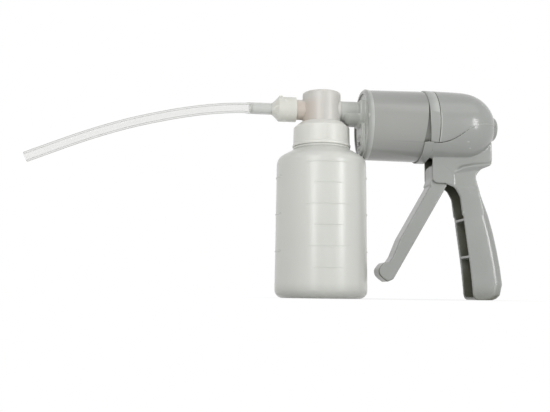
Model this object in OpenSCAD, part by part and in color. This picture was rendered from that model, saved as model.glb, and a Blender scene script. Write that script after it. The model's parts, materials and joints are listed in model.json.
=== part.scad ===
// Hand-operated suction pump for clearing an airway: a trigger-worked piston pump on a pistol grip,
// pushed into the lid of a 300 ml canister, with a short stiff catheter on the other side of the lid.
// X runs from the canister to the grip, Z is up, and the origin is the centre of the canister's base.

/* [Canister] */
// Outer diameter of the canister near its base
canister_d = 68.2; // [64:0.2:72]
// How much the canister's radius shrinks from the base to the shoulder
canister_draft = 0.7; // [0:0.1:1]
// Height of the straight side
side_h = 98.5; // [90:0.5:108]
// Wall thickness of the canister
canister_wall = 1.2; // [0.9:0.1:1.6]
// Radius of the rounded edge round the base
base_r = 6; // [4:0.5:8]
// Height of the hollow pushed up into the base
push_up = 3; // [1.5:0.5:5]
// Radius where the side turns into the shoulder
shoulder_r = 8; // [6:0.5:9]
// Slope of the shoulder above the horizontal
shoulder_a = 30; // [25:1:35]
// Diameter of the neck under its thread
neck_d = 34.8; // [33:0.2:36]
// Height of the neck above the shoulder
neck_h = 10.4; // [9.8:0.1:12]
// Height of the lowest 50 ml mark
mark_first_z = 21.7; // [18:0.1:24]
// Distance from one 50 ml mark to the next
mark_step = 15; // [13:0.1:15.4]
// How far the marks stand out of the wall
mark_proud = 0.3; // [0.2:0.05:0.5]

/* [Screw collar] */
// Pitch of the thread
thread_pitch = 4; // [3.5:0.1:4.5]
// Turns of thread
thread_turns = 1.5; // [1.25:0.25:1.75]
// Depth of the thread
thread_depth = 1.2; // [0.9:0.1:1.3]
// Wall thickness of the collar
collar_wall = 2.2; // [1.5:0.1:2.4]
// How far the bead at the collar's lower edge stands out
collar_bead = 0.6; // [0.3:0.1:0.9]
// Thickness of the gasket
gasket_t = 1.6; // [1:0.1:2.2]

/* [Valve head] */
// Outer diameter of the valve head
head_d = 28.8; // [27.6:0.2:30]
// Wall thickness of the valve head
head_wall = 1.8; // [1.4:0.1:2]
// Height of the valve head above its flange
head_h = 27.5; // [26:0.5:30]
// Thickness of the flange that the collar clamps
flange_t = 2.4; // [2:0.1:3]
// Height of the port axis above the flange
port_rise = 14.2; // [13.6:0.1:15]
// Outer diameter of the inlet stub and of the pump's nozzle
port_d = 15.2; // [14.4:0.2:15.6]
// How far the inlet stub reaches out of the valve head
stub_reach = 12.6; // [11:0.2:14]
// Bore of the inlet stub
stub_bore = 11.8; // [10.6:0.2:12]
// Diameter of the float ball
ball_d = 11.2; // [10:0.2:11.8]
// How far the float ball rises to close the way to the pump
float_lift = 6.9; // [5:0.1:8]

/* [Catheter] */
// Outer diameter of the catheter tube
tube_d = 7.6; // [7:0.1:9]
// Bore of the catheter tube
tube_bore = 5.4; // [4.4:0.1:6]
// Length of the barb inside the tube
barb_len = 16; // [12:0.5:18]
// Outer diameter of the adapter
adapter_d = 18.7; // [17.2:0.1:19]
// How far the adapter's body reaches past the end of the stub
adapter_reach = 5.8; // [4:0.2:7]
// Length of the adapter's cone
cone_len = 4.6; // [4:0.2:7]
// Length of the adapter's socket
socket_len = 7.5; // [6:0.5:9]

/* [Barrel] */
// Bore of the barrel
barrel_bore = 48; // [45:0.2:48.4]
// Wall thickness at the front of the barrel
barrel_wall = 2.5; // [2:0.1:2.6]
// How much the radius grows from the front to the back of the barrel
barrel_draft = 0.5; // [0:0.1:0.6]
// Length of barrel that shows between the front ring and the handle
barrel_len = 41.6; // [38:0.2:44]
// Width of the front ring
ring_w = 4.3; // [4:0.1:6]
// How far in from the canister's widest place the front ring starts
ring_in = 3.7; // [1:0.1:3.7]
// How far the front of the ring stands out of the barrel
ring_proud = 0.6; // [0.3:0.1:0.9]
// Height of the front ring's lowest point above the canister's straight side
ring_lift = 5.2; // [5.2:0.1:8]
// Length of nozzle inside the valve head
nozzle_in = 8.2; // [7:0.2:9]
// Bore of the nozzle
nozzle_bore = 8.8; // [7:0.2:9.6]

/* [Valves and piston] */
// Diameter of the inlet valve's disc
inlet_disc_d = 11.2; // [10.6:0.1:11.6]
// Diameter of the exhaust valve's disc
exhaust_disc_d = 10.4; // [9.8:0.1:10.8]
// How far the exhaust valve sits below the barrel's axis
exhaust_drop = 14.8; // [12.8:0.2:14.8]
// How far the exhaust housing stands out of the front cover
exhaust_out = 2.4; // [1.6:0.2:3]
// Thickness of the valve discs
disc_t = 0.8; // [0.6:0.1:1]
// How far each valve disc lifts
disc_lift = 1; // [0.6:0.1:1.2]
// Thickness of the piston
piston_t = 6.5; // [6:0.1:8]
// How far ahead of the handle's front the piston rests
piston_ahead = 9.8; // [9:0.1:11]
// Diameter of the piston rod
rod_d = 8; // [7:0.2:8.4]
// How far behind the cylindrical part of the dome the rod's guide sits
guide_back = 1.2; // [1:0.1:2]
// Diameter of the cross pin through the rod
cross_pin_d = 4; // [3:0.1:4.4]
// Wire of the return spring
spring_wire = 1.5; // [1.2:0.1:1.6]
// Turns of the return spring
spring_turns = 5; // [4:0.5:5]

/* [Trigger] */
// Distance from the pivot pin up to the barrel's axis
pivot_drop = 33.8; // [32:0.2:35]
// How far behind the handle's front the pivot pin sits
pivot_back = 13.7; // [13:0.1:14.5]
// Diameter of the pivot pin
pivot_d = 5; // [4:0.1:6]
// Width of the trigger
trigger_w = 17.4; // [16:0.2:18]
// Thickness of the trigger's arm from front to back
arm_t = 10.8; // [9.6:0.2:11.6]
// Lean of the arm from the vertical at rest
arm_lean = 30.2; // [29:0.1:32]
// Angle that the trigger turns through
squeeze_a = 34; // [28:1:34]
// Clearance under the toe of the trigger when it hangs straight down
toe_lift = 2.8; // [2:0.1:5]
// Wall thickness of the trigger
trigger_wall = 2.4; // [2:0.1:3]

/* [Handle] */
// Side clearance between the trigger and the handle's cheeks
cheek_gap = 0.4; // [0.3:0.1:0.8]
// Wall thickness of the handle
handle_wall = 1.9; // [1.6:0.1:2.4]
// Radius that the handle's shell stands proud of the back of the barrel
shell_proud = 0.3; // [0.3:0.1:0.8]
// How far the upper cover stands proud of the handle's shell
cover_proud = 0.4; // [0.4:0.1:1]
// Length of the cylindrical part of the dome
dome_len = 30; // [27:0.5:33]
// Length of the rounded back of the dome
dome_back = 27.2; // [26:0.2:30]
// How much the dome's radius shrinks from the band to its rounded back
dome_draft = 0.5; // [0:0.1:0.8]
// How far the pocket for the rod's tail stands out behind the dome
tail_out = 1.5; // [1:0.1:3]
// Width of the raised band round the front of the dome
band_w = 7; // [5:0.5:8]
// How far behind the handle's front its head starts
head_back = 6.2; // [5.6:0.1:7]
// Length of the handle's head from front to back
head_len = 46.2; // [44:0.2:48]
// How far the head reaches down below the pivot pin
head_drop = 10.5; // [9:0.1:12]
// Length of the head to the narrowest place of the grip
web_len = 34.1; // [33:0.1:36]
// How far the foot of the grip lies behind its narrowest place
foot_kick = 18.3; // [15:0.1:20]
// Depth of the grip from front to back at the foot
grip_depth = 22.6; // [20:0.2:25]
// Radius of the grip's rear corners
grip_round = 7; // [3:0.5:8]

/* [Hidden] */
$fn = 64;

// Clearances: running for shafts, loose for parts on different bodies, snug for parts that stay put
run_gap = 0.05;
loose_gap = 0.3;
snug_gap = 0.05;
sink = 0.2;

// Canister, from the base up
canister_r = canister_d / 2;
turn_r = canister_r - canister_draft - shoulder_r;
shoulder_end_r = turn_r + shoulder_r * sin(shoulder_a);
shoulder_end_z = side_h + shoulder_r * cos(shoulder_a);
neck_r = neck_d / 2;
neck_z = shoulder_end_z + (shoulder_end_r - neck_r) * tan(shoulder_a);
neck_top = neck_z + neck_h;
neck_bore_r = neck_r - 1.5;
mark_margin = 1.5;

// Collar and valve head, from the neck up
collar_bore_r = neck_r + thread_depth + 0.4;
collar_r = collar_bore_r + collar_wall;
collar_z = neck_z - 0.1;
flange_z = neck_top + gasket_t;
flange_top = flange_z + flange_t;
flange_r = collar_bore_r - 0.4;
head_r = head_d / 2;
head_bore_r = head_r - head_wall;
head_top = flange_top + head_h;
collar_step_z = flange_top + 0.2;
collar_cone_h = collar_r - head_r - 1.8;
port_z = flange_top + port_rise;
port_r = port_d / 2;

// Overflow float: the ball hangs in a cage beside the drip tube
cage_x = 4.2;
ball_r = ball_d / 2;
cage_bore_r = ball_r + 1.2;
cage_r = cage_bore_r + 1.4;
plate_t = 3;
seat_t = 1.2;
seat_bore_r = 3.6;
seat_z = flange_z - seat_t;
ball_up_z = seat_z - sqrt(ball_r * ball_r - seat_bore_r * seat_bore_r) - 0.1;
ball_z = ball_up_z - float_lift;
cage_floor_t = 1.5;
cage_z = ball_z - ball_r - cage_floor_t;
drip_x = -8.8;
drip_r = 3.4;
drip_bore_r = 2.3;
drip_bend_r = 5;
drip_end_z = flange_z - 8;

// Adapter and tube
stub_end_x = -(head_r + stub_reach);
adapter_r = adapter_d / 2;
adapter_x = stub_end_x + socket_len - 0.1;
adapter_back_x = stub_end_x - adapter_reach;
cone_end_x = adapter_back_x - cone_len;
tube_x = cone_end_x - 0.6;
tube_r = tube_d / 2;
tube_bore_r = tube_bore / 2;
barb_r = tube_bore_r + 0.6;
tube_gap = 0.1;
// Route of the tube's centre from the barb's end to the tip: X, and height above the port axis
tube_route = [[-9, -0.1], [-18, -0.7], [-27, -1.6], [-36, -2.8], [-45, -4.3], [-54, -6],
    [-63, -8], [-72, -10.1], [-81, -12.4], [-90, -14.9], [-99, -17.7], [-108, -20.7],
    [-117, -23.9], [-126, -27.3], [-135, -30.9], [-144, -34.6], [-153, -38.3], [-162, -42]];

// Barrel, from the front ring to the back; its axis is level
ring_x = canister_r - ring_in;
barrel_bore_r = barrel_bore / 2;
barrel_front_r = barrel_bore_r + barrel_wall;
barrel_back_r = barrel_front_r + barrel_draft;
ring_r = barrel_front_r + ring_proud;
axis_z = side_h + ring_lift + ring_r;
barrel_x = ring_x + ring_w;
handle_x = barrel_x + barrel_len;
spigot_len = 7.7;
lip_len = 3.3;
cover_x = ring_x + 1;
cover_t = 4;
cover_back_x = cover_x + cover_t;
cover_r = barrel_front_r - 1.3;
cover_spigot_r = barrel_bore_r - snug_gap;
cover_spigot_len = 3.5;
nozzle_x = head_r - nozzle_in;
nozzle_bore_r = nozzle_bore / 2;
cradle_r = port_r + 4;
cradle_x = head_r + 2.1;
cradle_cut = 3.2;
cradle_rim = port_z - 3.5;
boss_r = port_r + 5.6;
boss_x = cover_x - 4.4;
exhaust_z = axis_z - exhaust_drop;
exhaust_r = exhaust_disc_d / 2 + 1.4;
exhaust_ring_r = exhaust_r + 2;
exhaust_face_x = cover_x - exhaust_out;
exhaust_depth = 2.2;
exhaust_disc_x = cover_x + exhaust_depth - disc_t - 0.05;
nozzle_seal_x = nozzle_x + 2.2;
nozzle_seal_w = 1.8;
nozzle_seal_depth = 1.1;
cover_seal_x = barrel_x + 1;
cover_seal_w = 1.4;
cover_seal_depth = 0.7;
seal_slack = 0.1;

// Piston at rest at the back of its stroke, trigger let go
stroke = 2 * pivot_drop * tan(squeeze_a / 2);
pivot_x = handle_x + pivot_back;
pivot_z = axis_z - pivot_drop;
cross_x = pivot_x + stroke / 2;
piston_x = handle_x - piston_ahead;
piston_r = barrel_bore_r - 0.6;
seal_r = barrel_bore_r - run_gap;
seal_in_r = seal_r - 3;
rod_r = rod_d / 2;
guide_len = 6.5;
spring_r = cover_spigot_r - 1.4 - spring_wire / 2 - 0.3;

// Handle: a dome round the barrel's axis, a head between flat cheeks, and the grip
shell_wall = 1.7;
shell_r = barrel_back_r + shell_proud;
cover_shell_r = shell_r + cover_proud;
shell_in_r = barrel_back_r - 1.4;
spigot_r = shell_in_r - snug_gap;
dome_x = handle_x + dome_len;
dome_end_x = dome_x + dome_back;
guide_x = dome_x + guide_back;
tail_r = 9.2;
tail_end_x = dome_end_x + tail_out;
tail_wall = 1.8;
tail_edge = 2.4;
rod_end_x = tail_end_x - tail_wall - 1;
cheek_in = trigger_w / 2 + cheek_gap;
cheek_out = cheek_in + handle_wall;
head_x = handle_x + head_back;
head_back_x = head_x + head_len;
head_bottom = pivot_z - head_drop;
shell_low = axis_z - 0.445 * shell_r;
grip_top_x = head_x + web_len;
foot_back_x = grip_top_x + foot_kick;
foot_front_x = foot_back_x - grip_depth;
grip_front_x = foot_front_x - 8.6;
bulkhead_t = 3;
toe_r = 5.2;
arm_len = pivot_z - toe_lift;
arm_front = 1.2;
hub_r = 7.4;
fork_gap = rod_r + 1.2;
fork_w = 4.8;

// The parting line between the handle and its upper cover, in X and height from the barrel's axis
past_end = 4;
past_dome = 1.5 * shell_r;
function parting(up) = [[handle_x - past_end, -0.576 * shell_r + up],
    [handle_x + 0.3 * dome_len, -0.58 * shell_r + up], [handle_x + 0.64 * dome_len, -0.47 * shell_r + up],
    [handle_x + 0.94 * dome_len, -0.24 * shell_r + up], [dome_x + 0.2 * dome_back, -0.11 * shell_r + up],
    [dome_x + 0.5 * dome_back, -0.03 * shell_r + up], [tail_end_x + past_end, up]];

// Points on an arc round a centre, from one angle to another
function arc(cx, cy, r, a0, a1, steps = 6) =
    [for (i = [0:steps]) [cx + r * cos(a0 + (a1 - a0) * i / steps),
        cy + r * sin(a0 + (a1 - a0) * i / steps)]];

// Points on the rounded back of the dome, down to the radius r1: radius and X
function dome_arc(r, back, r1, steps = 12) =
    [for (i = [0:steps])
        let (a = acos(r1 / r) * i / steps)
        [r * cos(a), dome_x + back * sin(a)]];

// Radius of the canister's side at the height z
function side_r(z) = canister_r - canister_draft * (z - base_r) / (side_h - base_r);

// Turns a profile of radius and X round a level axis at height z
module about_axis(z) {
    translate([0, 0, z])
        rotate([0, 90, 0])
            rotate_extrude()
                children();
}

// Turns a profile of radius and height round the canister's axis
module upright(x = 0) {
    translate([x, 0, 0])
        rotate_extrude()
            children();
}

// Extrudes a side view, in X and height, to a width across the object
module side_view(w, y = 0) {
    translate([0, y, 0])
        rotate([90, 0, 0])
            linear_extrude(w, center = true)
                children();
}

// A level rod or hole from x0 to x1
module level_rod(x0, x1, z, r) {
    translate([x0, 0, z])
        rotate([0, 90, 0])
            cylinder(h = x1 - x0, r = r);
}

// A pin or hole across the object from y0 to y1
module cross_rod(x, z, y0, y1, r) {
    translate([x, y1, z])
        rotate([90, 0, 0])
            cylinder(h = y1 - y0, r = r);
}

// A closed skin over a row of rings that have the same number of points
module loft(rings) {
    n = len(rings[0]);
    last = len(rings) - 1;
    sides = [for (i = [0:last - 1]) for (j = [0:n - 1])
        let (a = i * n + j, b = i * n + (j + 1) % n)
        each [[a, b, a + n], [b, b + n, a + n]]];
    start = [for (j = [1:n - 2]) [0, j + 1, j]];
    end = [for (j = [1:n - 2]) [last * n, last * n + j, last * n + j + 1]];
    polyhedron(points = [for (ring = rings) each ring], faces = concat(sides, start, end));
}

// One ring of a profile swept along a helix
function helix_ring(a, pitch, profile) =
    [for (p = profile) [p[0] * cos(a), p[0] * sin(a), p[1] + pitch * a / 360]];

// A closed ridge or wire swept along a helix
module helix(turns, pitch, profile, steps_per_turn) {
    steps = ceil(turns * steps_per_turn);
    loft([for (i = [0:steps]) helix_ring(360 * turns * i / steps, pitch, profile)]);
}

// Outline of the canister's wall, shrunk inwards by t
function canister_side(t) = concat(
    arc(canister_r - base_r, base_r, base_r - t, -90, 0),
    arc(turn_r, side_h, shoulder_r - t, 0, 90 - shoulder_a),
    [[neck_r - t, neck_z - t / cos(shoulder_a) + t * tan(shoulder_a)]]);

module graduation(z, turn, half_angle, proud) {
    translate([0, 0, z])
        rotate([0, 0, turn - half_angle])
            rotate_extrude(angle = 2 * half_angle)
                translate([side_r(z) - sink, -mark_proud])
                    square([proud + sink, 2 * mark_proud]);
}

module canister() {
    marks = 1 + floor((side_h - mark_margin - mark_first_z) / mark_step);
    thread_z = neck_z + 1.6;
    root = 0.75;
    tip = 0.4;
    foot_r = canister_r - base_r;
    color("#e3e5df") {
        difference() {
            union() {
                upright()
                    polygon(concat([[0, push_up], [foot_r - 7, push_up], [foot_r - 3, 0]],
                        canister_side(0), [[neck_r, neck_top], [0, neck_top]]));
                for (i = [0:marks - 1])
                    graduation(mark_first_z + i * mark_step, -90, i % 2 == 0 ? 18 : 28, mark_proud);
                for (share = [0.345, 0.635, 0.9], side = [0, 180])
                    graduation(share * side_h, side, 20, mark_proud * 2);
            }
            upright()
                polygon(concat([[0, push_up + canister_wall],
                        [foot_r - 6.4, push_up + canister_wall], [foot_r - 2.4, canister_wall]],
                    canister_side(canister_wall),
                    [[neck_bore_r, neck_z], [neck_bore_r, neck_top + 1], [0, neck_top + 1]]));
        }
        translate([0, 0, thread_z])
            helix(thread_turns, thread_pitch,
                [[neck_r - sink, -root], [neck_r + thread_depth, -tip],
                    [neck_r + thread_depth, tip], [neck_r - sink, root]], 24);
    }
}

module screw_collar() {
    root = 0.7;
    tip = 0.35;
    thread_z = neck_z + 1.6 + thread_pitch / 2;
    crest_r = neck_r + 0.5;
    color("#e9ebe6") {
        upright()
            polygon([[collar_bore_r, collar_z], [collar_r + collar_bead, collar_z],
                [collar_r + collar_bead, collar_z + 1.4], [collar_r, collar_z + 2.4],
                [collar_r, collar_step_z], [collar_r - collar_cone_h, collar_step_z + collar_cone_h * 0.8],
                [head_r + loose_gap, collar_step_z + collar_cone_h * 0.8],
                [head_r + loose_gap, collar_step_z], [collar_bore_r, collar_step_z]]);
        translate([0, 0, thread_z])
            helix(thread_turns, thread_pitch,
                [[crest_r, -tip], [collar_bore_r + sink, -root],
                    [collar_bore_r + sink, root], [crest_r, tip]], 24);
    }
}

module port_gasket() {
    color("#b9bcb6")
        upright()
            polygon([[neck_bore_r + 0.3, neck_top], [flange_r - 0.3, neck_top],
                [flange_r - 0.3, flange_z], [neck_bore_r + 0.3, flange_z]]);
}

module valve_head() {
    edge = 1.4;
    boss = port_r + 1.6;
    boss_x = nozzle_x - 1.2;
    color("#d9d5cd")
        difference() {
            union() {
                difference() {
                    upright()
                        polygon(concat([[0, flange_z], [flange_r, flange_z], [flange_r, flange_top],
                            [head_r, flange_top]],
                            arc(head_r - edge, head_top - edge, edge, 0, 90), [[0, head_top]]));
                    upright()
                        polygon([[0, flange_z - 1], [head_bore_r, flange_z - 1],
                            [head_bore_r, head_top - head_wall], [0, head_top - head_wall]]);
                }
                level_rod(stub_end_x, -head_bore_r - head_wall / 2 + 1, port_z, port_r);
                level_rod(boss_x, head_bore_r + head_wall / 2 - 0.2, port_z, boss);
            }
            level_rod(stub_end_x - 1, -head_bore_r + 2, port_z, stub_bore / 2);
            level_rod(boss_x - 1, head_r + 1, port_z, port_r + run_gap);
        }
}

module inlet_sleeve() {
    sleeve_r = stub_bore / 2 - snug_gap;
    bend_x = drip_x - drip_bend_r;
    drip_top = port_z - drip_bend_r;
    color("#e38a5c")
        difference() {
            union() {
                level_rod(stub_end_x, bend_x, port_z, sleeve_r);
                translate([bend_x, 0, drip_top])
                    rotate([90, 0, 0])
                        rotate_extrude(angle = 90)
                            translate([drip_bend_r, 0])
                                circle(r = drip_r);
                translate([drip_x, 0, drip_end_z])
                    cylinder(h = drip_top - drip_end_z, r = drip_r);
            }
            level_rod(stub_end_x - 1, bend_x, port_z, drip_bore_r);
            translate([bend_x, 0, drip_top])
                rotate([90, 0, 0])
                    rotate_extrude(angle = 90)
                        translate([drip_bend_r, 0])
                            circle(r = drip_bore_r);
            translate([drip_x, 0, drip_end_z - 1])
                cylinder(h = drip_top - drip_end_z + 1, r = drip_bore_r);
        }
}

module float_cage() {
    window_w = 6;
    window_z = cage_z + cage_floor_t + 2;
    color("#f0f0ec")
        difference() {
            union() {
                translate([0, 0, flange_z])
                    cylinder(h = plate_t, r = head_bore_r - snug_gap);
                translate([cage_x, 0, cage_z])
                    cylinder(h = flange_z - cage_z + sink, r = cage_r);
            }
            translate([cage_x, 0, cage_z + cage_floor_t])
                cylinder(h = flange_z - cage_z - cage_floor_t, r = cage_bore_r);
            translate([cage_x, 0, flange_z - 1])
                cylinder(h = plate_t + 2, r = seat_bore_r);
            translate([drip_x, 0, flange_z - 1])
                cylinder(h = plate_t + 2, r = drip_r + snug_gap);
            for (turn = [0, 90])
                translate([cage_x, 0, window_z])
                    rotate([0, 0, turn + 45])
                        translate([-cage_r - 1, -window_w / 2, 0])
                            cube([2 * cage_r + 2, window_w, ball_z - cage_z + 2]);
            for (turn = [0:90:270])
                translate([cage_x, 0, cage_z - 1])
                    rotate([0, 0, turn])
                        translate([cage_bore_r / 2, 0, 0])
                            cylinder(h = cage_floor_t + 2, r = 1.4);
        }
}

module float_seat() {
    color("#4a4a48")
        upright(cage_x)
            polygon([[seat_bore_r, seat_z], [cage_bore_r - snug_gap, seat_z],
                [cage_bore_r - snug_gap, flange_z], [seat_bore_r, flange_z]]);
}

module float_ball() {
    color("#f4f4f0")
        translate([cage_x, 0, ball_z])
            sphere(r = ball_r);
}

module catheter_adapter() {
    lug_w = 4;
    lug_h = 0.9;
    lug_len = 3;
    barb_end_x = tube_x - barb_len;
    neck = barb_r - 0.5;
    color("#dfe1da") {
        about_axis(port_z)
            polygon(concat([[port_r + run_gap, adapter_x], [adapter_r - 0.6, adapter_x],
                [adapter_r, adapter_x - 0.6], [adapter_r, adapter_back_x], [tube_r + 0.8, cone_end_x],
                [tube_r + 0.8, tube_x], [neck, tube_x]],
                [for (i = [0:2]) each [[neck, tube_x - 2 - i * 4], [barb_r, tube_x - 2.2 - i * 4],
                    [neck, tube_x - 5.6 - i * 4]]],
                [[neck, barb_end_x + 0.6], [neck - 0.5, barb_end_x], [drip_bore_r - 0.4, barb_end_x],
                    [drip_bore_r - 0.4, stub_end_x - 0.1], [port_r + run_gap, stub_end_x - 0.1]]));
        translate([adapter_back_x, -lug_w / 2, port_z + adapter_r - 1.2])
            cube([lug_len, lug_w, lug_h + 1.2]);
    }
}

// Centre points of the tube, with the outer and inner radius there
tube_line = concat(
    [[tube_x, port_z, tube_r + 0.6, barb_r + tube_gap],
        [tube_x - barb_len / 2, port_z, tube_r + 0.6, barb_r + tube_gap],
        [tube_x - barb_len, port_z, tube_r + 0.5, barb_r + tube_gap]],
    [for (p = tube_route) [tube_x - barb_len + p[0], port_z + p[1], tube_r, tube_bore_r]]);
tube_sides = 12;

// Lean of the tube's centre line at point i
function tube_lean(i) =
    let (a = tube_line[max(0, i - 1)], b = tube_line[min(len(tube_line) - 1, i + 1)])
    atan2(a[1] - b[1], a[0] - b[0]);

// One ring of points round the tube at point i
function tube_ring(i, r) =
    [for (j = [0:tube_sides - 1])
        let (a = 360 * j / tube_sides, up = r * cos(a), lean = tube_lean(i))
        [tube_line[i][0] - up * sin(lean), r * sin(a), tube_line[i][1] + up * cos(lean)]];

module catheter_tube() {
    n = tube_sides;
    last = len(tube_line) - 1;
    inner = n * (last + 1);
    points = concat([for (i = [0:last]) each tube_ring(i, tube_line[i][2])],
        [for (i = [0:last]) each tube_ring(i, tube_line[i][3])]);
    walls = [for (i = [0:last - 1]) for (j = [0:n - 1])
        let (a = i * n + j, b = i * n + (j + 1) % n, c = a + n, d = b + n)
        each [[a, b, c], [b, d, c],
            [inner + a, inner + c, inner + b], [inner + b, inner + c, inner + d]]];
    ends = [for (j = [0:n - 1])
        let (a = j, b = (j + 1) % n, c = last * n + a, d = last * n + b)
        each [[a, inner + a, b], [b, inner + a, inner + b],
            [c, d, inner + c], [d, inner + d, inner + c]]];
    color("#e6ebe4", 0.6)
        polyhedron(points = points, faces = concat(walls, ends));
}

module front_ring() {
    edge = 1.5;
    back_proud = 0.15;
    color("#a3a8a0")
        about_axis(axis_z)
            polygon([[cover_r - 1.6, ring_x], [ring_r - edge, ring_x], [ring_r, ring_x + edge],
                [barrel_front_r + back_proud, barrel_x], [cover_r + snug_gap, barrel_x],
                [cover_r + snug_gap, cover_x], [cover_r - 1.6, cover_x]]);
}

// Profile of a groove cut into a round face of radius r
module seal_groove(r, depth, x, w) {
    polygon([[r - depth, x], [r + 1, x], [r + 1, x + w], [r - depth, x + w]]);
}

// Profile of the ring that lies in such a groove and touches the bore round it
module seal_ring(r, depth, x, w, bore_r) {
    polygon([[r - depth + seal_slack / 2, x + seal_slack], [bore_r, x + seal_slack],
        [bore_r, x + w - seal_slack], [r - depth + seal_slack / 2, x + w - seal_slack]]);
}

module front_cover() {
    chamber_x = cover_x + exhaust_depth;
    vents = 6;
    housing_top = port_z - port_r;
    color("#9ba098")
        difference() {
            union() {
                about_axis(axis_z)
                    polygon([[0, cover_x], [cover_r, cover_x], [cover_r, barrel_x],
                        [cover_spigot_r, barrel_x],
                        [cover_spigot_r, cover_back_x + cover_spigot_len],
                        [cover_spigot_r - 1.4, cover_back_x + cover_spigot_len],
                        [cover_spigot_r - 1.4, cover_back_x], [0, cover_back_x]]);
                level_rod(nozzle_x, cover_x + 1, port_z, port_r);
                intersection() {
                    union() {
                        level_rod(cradle_x, cover_x + 1, port_z, cradle_r);
                        level_rod(boss_x, cover_x + 1, port_z, boss_r);
                    }
                    side_view(4 * boss_r)
                        polygon([[cradle_x, cradle_rim], [cradle_x, port_z - cradle_r + cradle_cut],
                            [cradle_x + cradle_cut, port_z - cradle_r],
                            [boss_x, port_z - boss_r], [cover_x + 1, port_z - boss_r],
                            [cover_x + 1, port_z + boss_r / 2], [boss_x, port_z + boss_r / 2],
                            [boss_x, cradle_rim]]);
                }
                level_rod(exhaust_face_x, cover_x + 1, exhaust_z, exhaust_ring_r);
                translate([exhaust_face_x, -exhaust_ring_r, exhaust_z])
                    cube([exhaust_out + 1, 2 * exhaust_ring_r, housing_top - exhaust_z]);
            }
            level_rod(nozzle_x - 1, cover_back_x + 1, port_z, nozzle_bore_r);
            about_axis(port_z)
                seal_groove(port_r, nozzle_seal_depth, nozzle_seal_x, nozzle_seal_w);
            about_axis(axis_z)
                seal_groove(cover_spigot_r, cover_seal_depth, cover_seal_x, cover_seal_w);
            level_rod(exhaust_face_x - 1, chamber_x, exhaust_z, exhaust_r);
            for (i = [0:vents - 1])
                translate([chamber_x - 1, 0, exhaust_z])
                    rotate([i * 360 / vents, 0, 0])
                        level_rod(0, cover_t, exhaust_disc_d / 4 + 0.4, 1.1);
        }
}

module nozzle_seal() {
    color("#3a3c3a")
        about_axis(port_z)
            seal_ring(port_r, nozzle_seal_depth, nozzle_seal_x, nozzle_seal_w, port_r + run_gap - 0.03);
}

module cover_seal() {
    color("#3a3c3a")
        about_axis(axis_z)
            seal_ring(cover_spigot_r, cover_seal_depth, cover_seal_x, cover_seal_w, barrel_bore_r - 0.01);
}

module exhaust_guard() {
    slots = 8;
    guard_back_x = exhaust_disc_x - disc_lift - 0.55;
    color("#8d928b")
        difference() {
            level_rod(exhaust_face_x, guard_back_x, exhaust_z, exhaust_r - snug_gap);
            for (i = [0:slots - 1])
                translate([exhaust_face_x - 1, 0, exhaust_z])
                    rotate([i * 360 / slots, 0, 0])
                        level_rod(0, exhaust_out + 3, exhaust_disc_d / 2 - 1.2, 0.9);
        }
}

module exhaust_disc() {
    color("#c8643c")
        level_rod(exhaust_disc_x, exhaust_disc_x + disc_t, exhaust_z, exhaust_disc_d / 2);
}

module inlet_disc() {
    color("#c8643c")
        level_rod(cover_back_x + 0.05, cover_back_x + 0.05 + disc_t, port_z, inlet_disc_d / 2);
}

module inlet_cage() {
    cage_in = inlet_disc_d / 2 + 0.4;
    cage_out = cage_in + 1.4;
    top_x = cover_back_x + disc_t + disc_lift + 0.3;
    slots = 6;
    color("#d8dad4")
        difference() {
            about_axis(port_z)
                polygon([[cage_in, cover_back_x], [cage_out, cover_back_x], [cage_out, top_x + 1],
                    [0, top_x + 1], [0, top_x], [cage_in, top_x]]);
            for (i = [0:slots - 1])
                translate([top_x - 1, 0, port_z])
                    rotate([i * 360 / slots, 0, 0])
                        level_rod(0, 3, cage_in - 2, 1.3);
        }
}

module barrel() {
    back_x = handle_x + spigot_len;
    notch_x = handle_x + 2.4;
    notch_h = 6;
    color("#a6aaa3")
        difference() {
            about_axis(axis_z)
                polygon([[0, barrel_x], [barrel_front_r, barrel_x], [barrel_back_r, handle_x],
                    [spigot_r, handle_x], [spigot_r, back_x], [0, back_x]]);
            level_rod(barrel_x - 1, back_x + 1, axis_z, barrel_bore_r);
            translate([notch_x, -cheek_in, axis_z - spigot_r - 1])
                cube([spigot_len, 2 * cheek_in, notch_h]);
        }
}

module piston_head() {
    groove_x = piston_x + 1.8;
    groove_w = 3;
    color("#e6e6e2")
        difference() {
            about_axis(axis_z)
                polygon([[0, piston_x], [piston_r, piston_x], [piston_r, groove_x],
                    [seal_in_r, groove_x], [seal_in_r, groove_x + groove_w],
                    [piston_r, groove_x + groove_w], [piston_r, piston_x + piston_t],
                    [rod_r + 5, piston_x + piston_t], [rod_r + 3, piston_x + piston_t + 5],
                    [0, piston_x + piston_t + 5]]);
            level_rod(piston_x + 2, piston_x + piston_t + 6, axis_z, rod_r + snug_gap);
            level_rod(piston_x - 1, piston_x + 3, axis_z, 2.1);
        }
}

module piston_seal() {
    groove_x = piston_x + 1.8;
    color("#2f3130")
        about_axis(axis_z)
            polygon([[seal_in_r + 0.02, groove_x + 0.1], [seal_r - 0.6, groove_x + 0.1],
                [seal_r, groove_x + 0.8], [seal_r, groove_x + 2.1], [seal_r - 0.6, groove_x + 2.9],
                [seal_in_r + 0.02, groove_x + 2.9]]);
}

module piston_rod() {
    color("#c9cbc8")
        difference() {
            about_axis(axis_z)
                polygon([[0, piston_x + 2.1], [rod_r, piston_x + 2.1], [rod_r, rod_end_x - 1],
                    [rod_r - 1, rod_end_x], [0, rod_end_x]]);
            level_rod(piston_x + 1, piston_x + 12, axis_z, 1.6);
            cross_rod(cross_x, axis_z, -rod_r - 1, rod_r + 1, cross_pin_d / 2 + snug_gap);
        }
}

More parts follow.
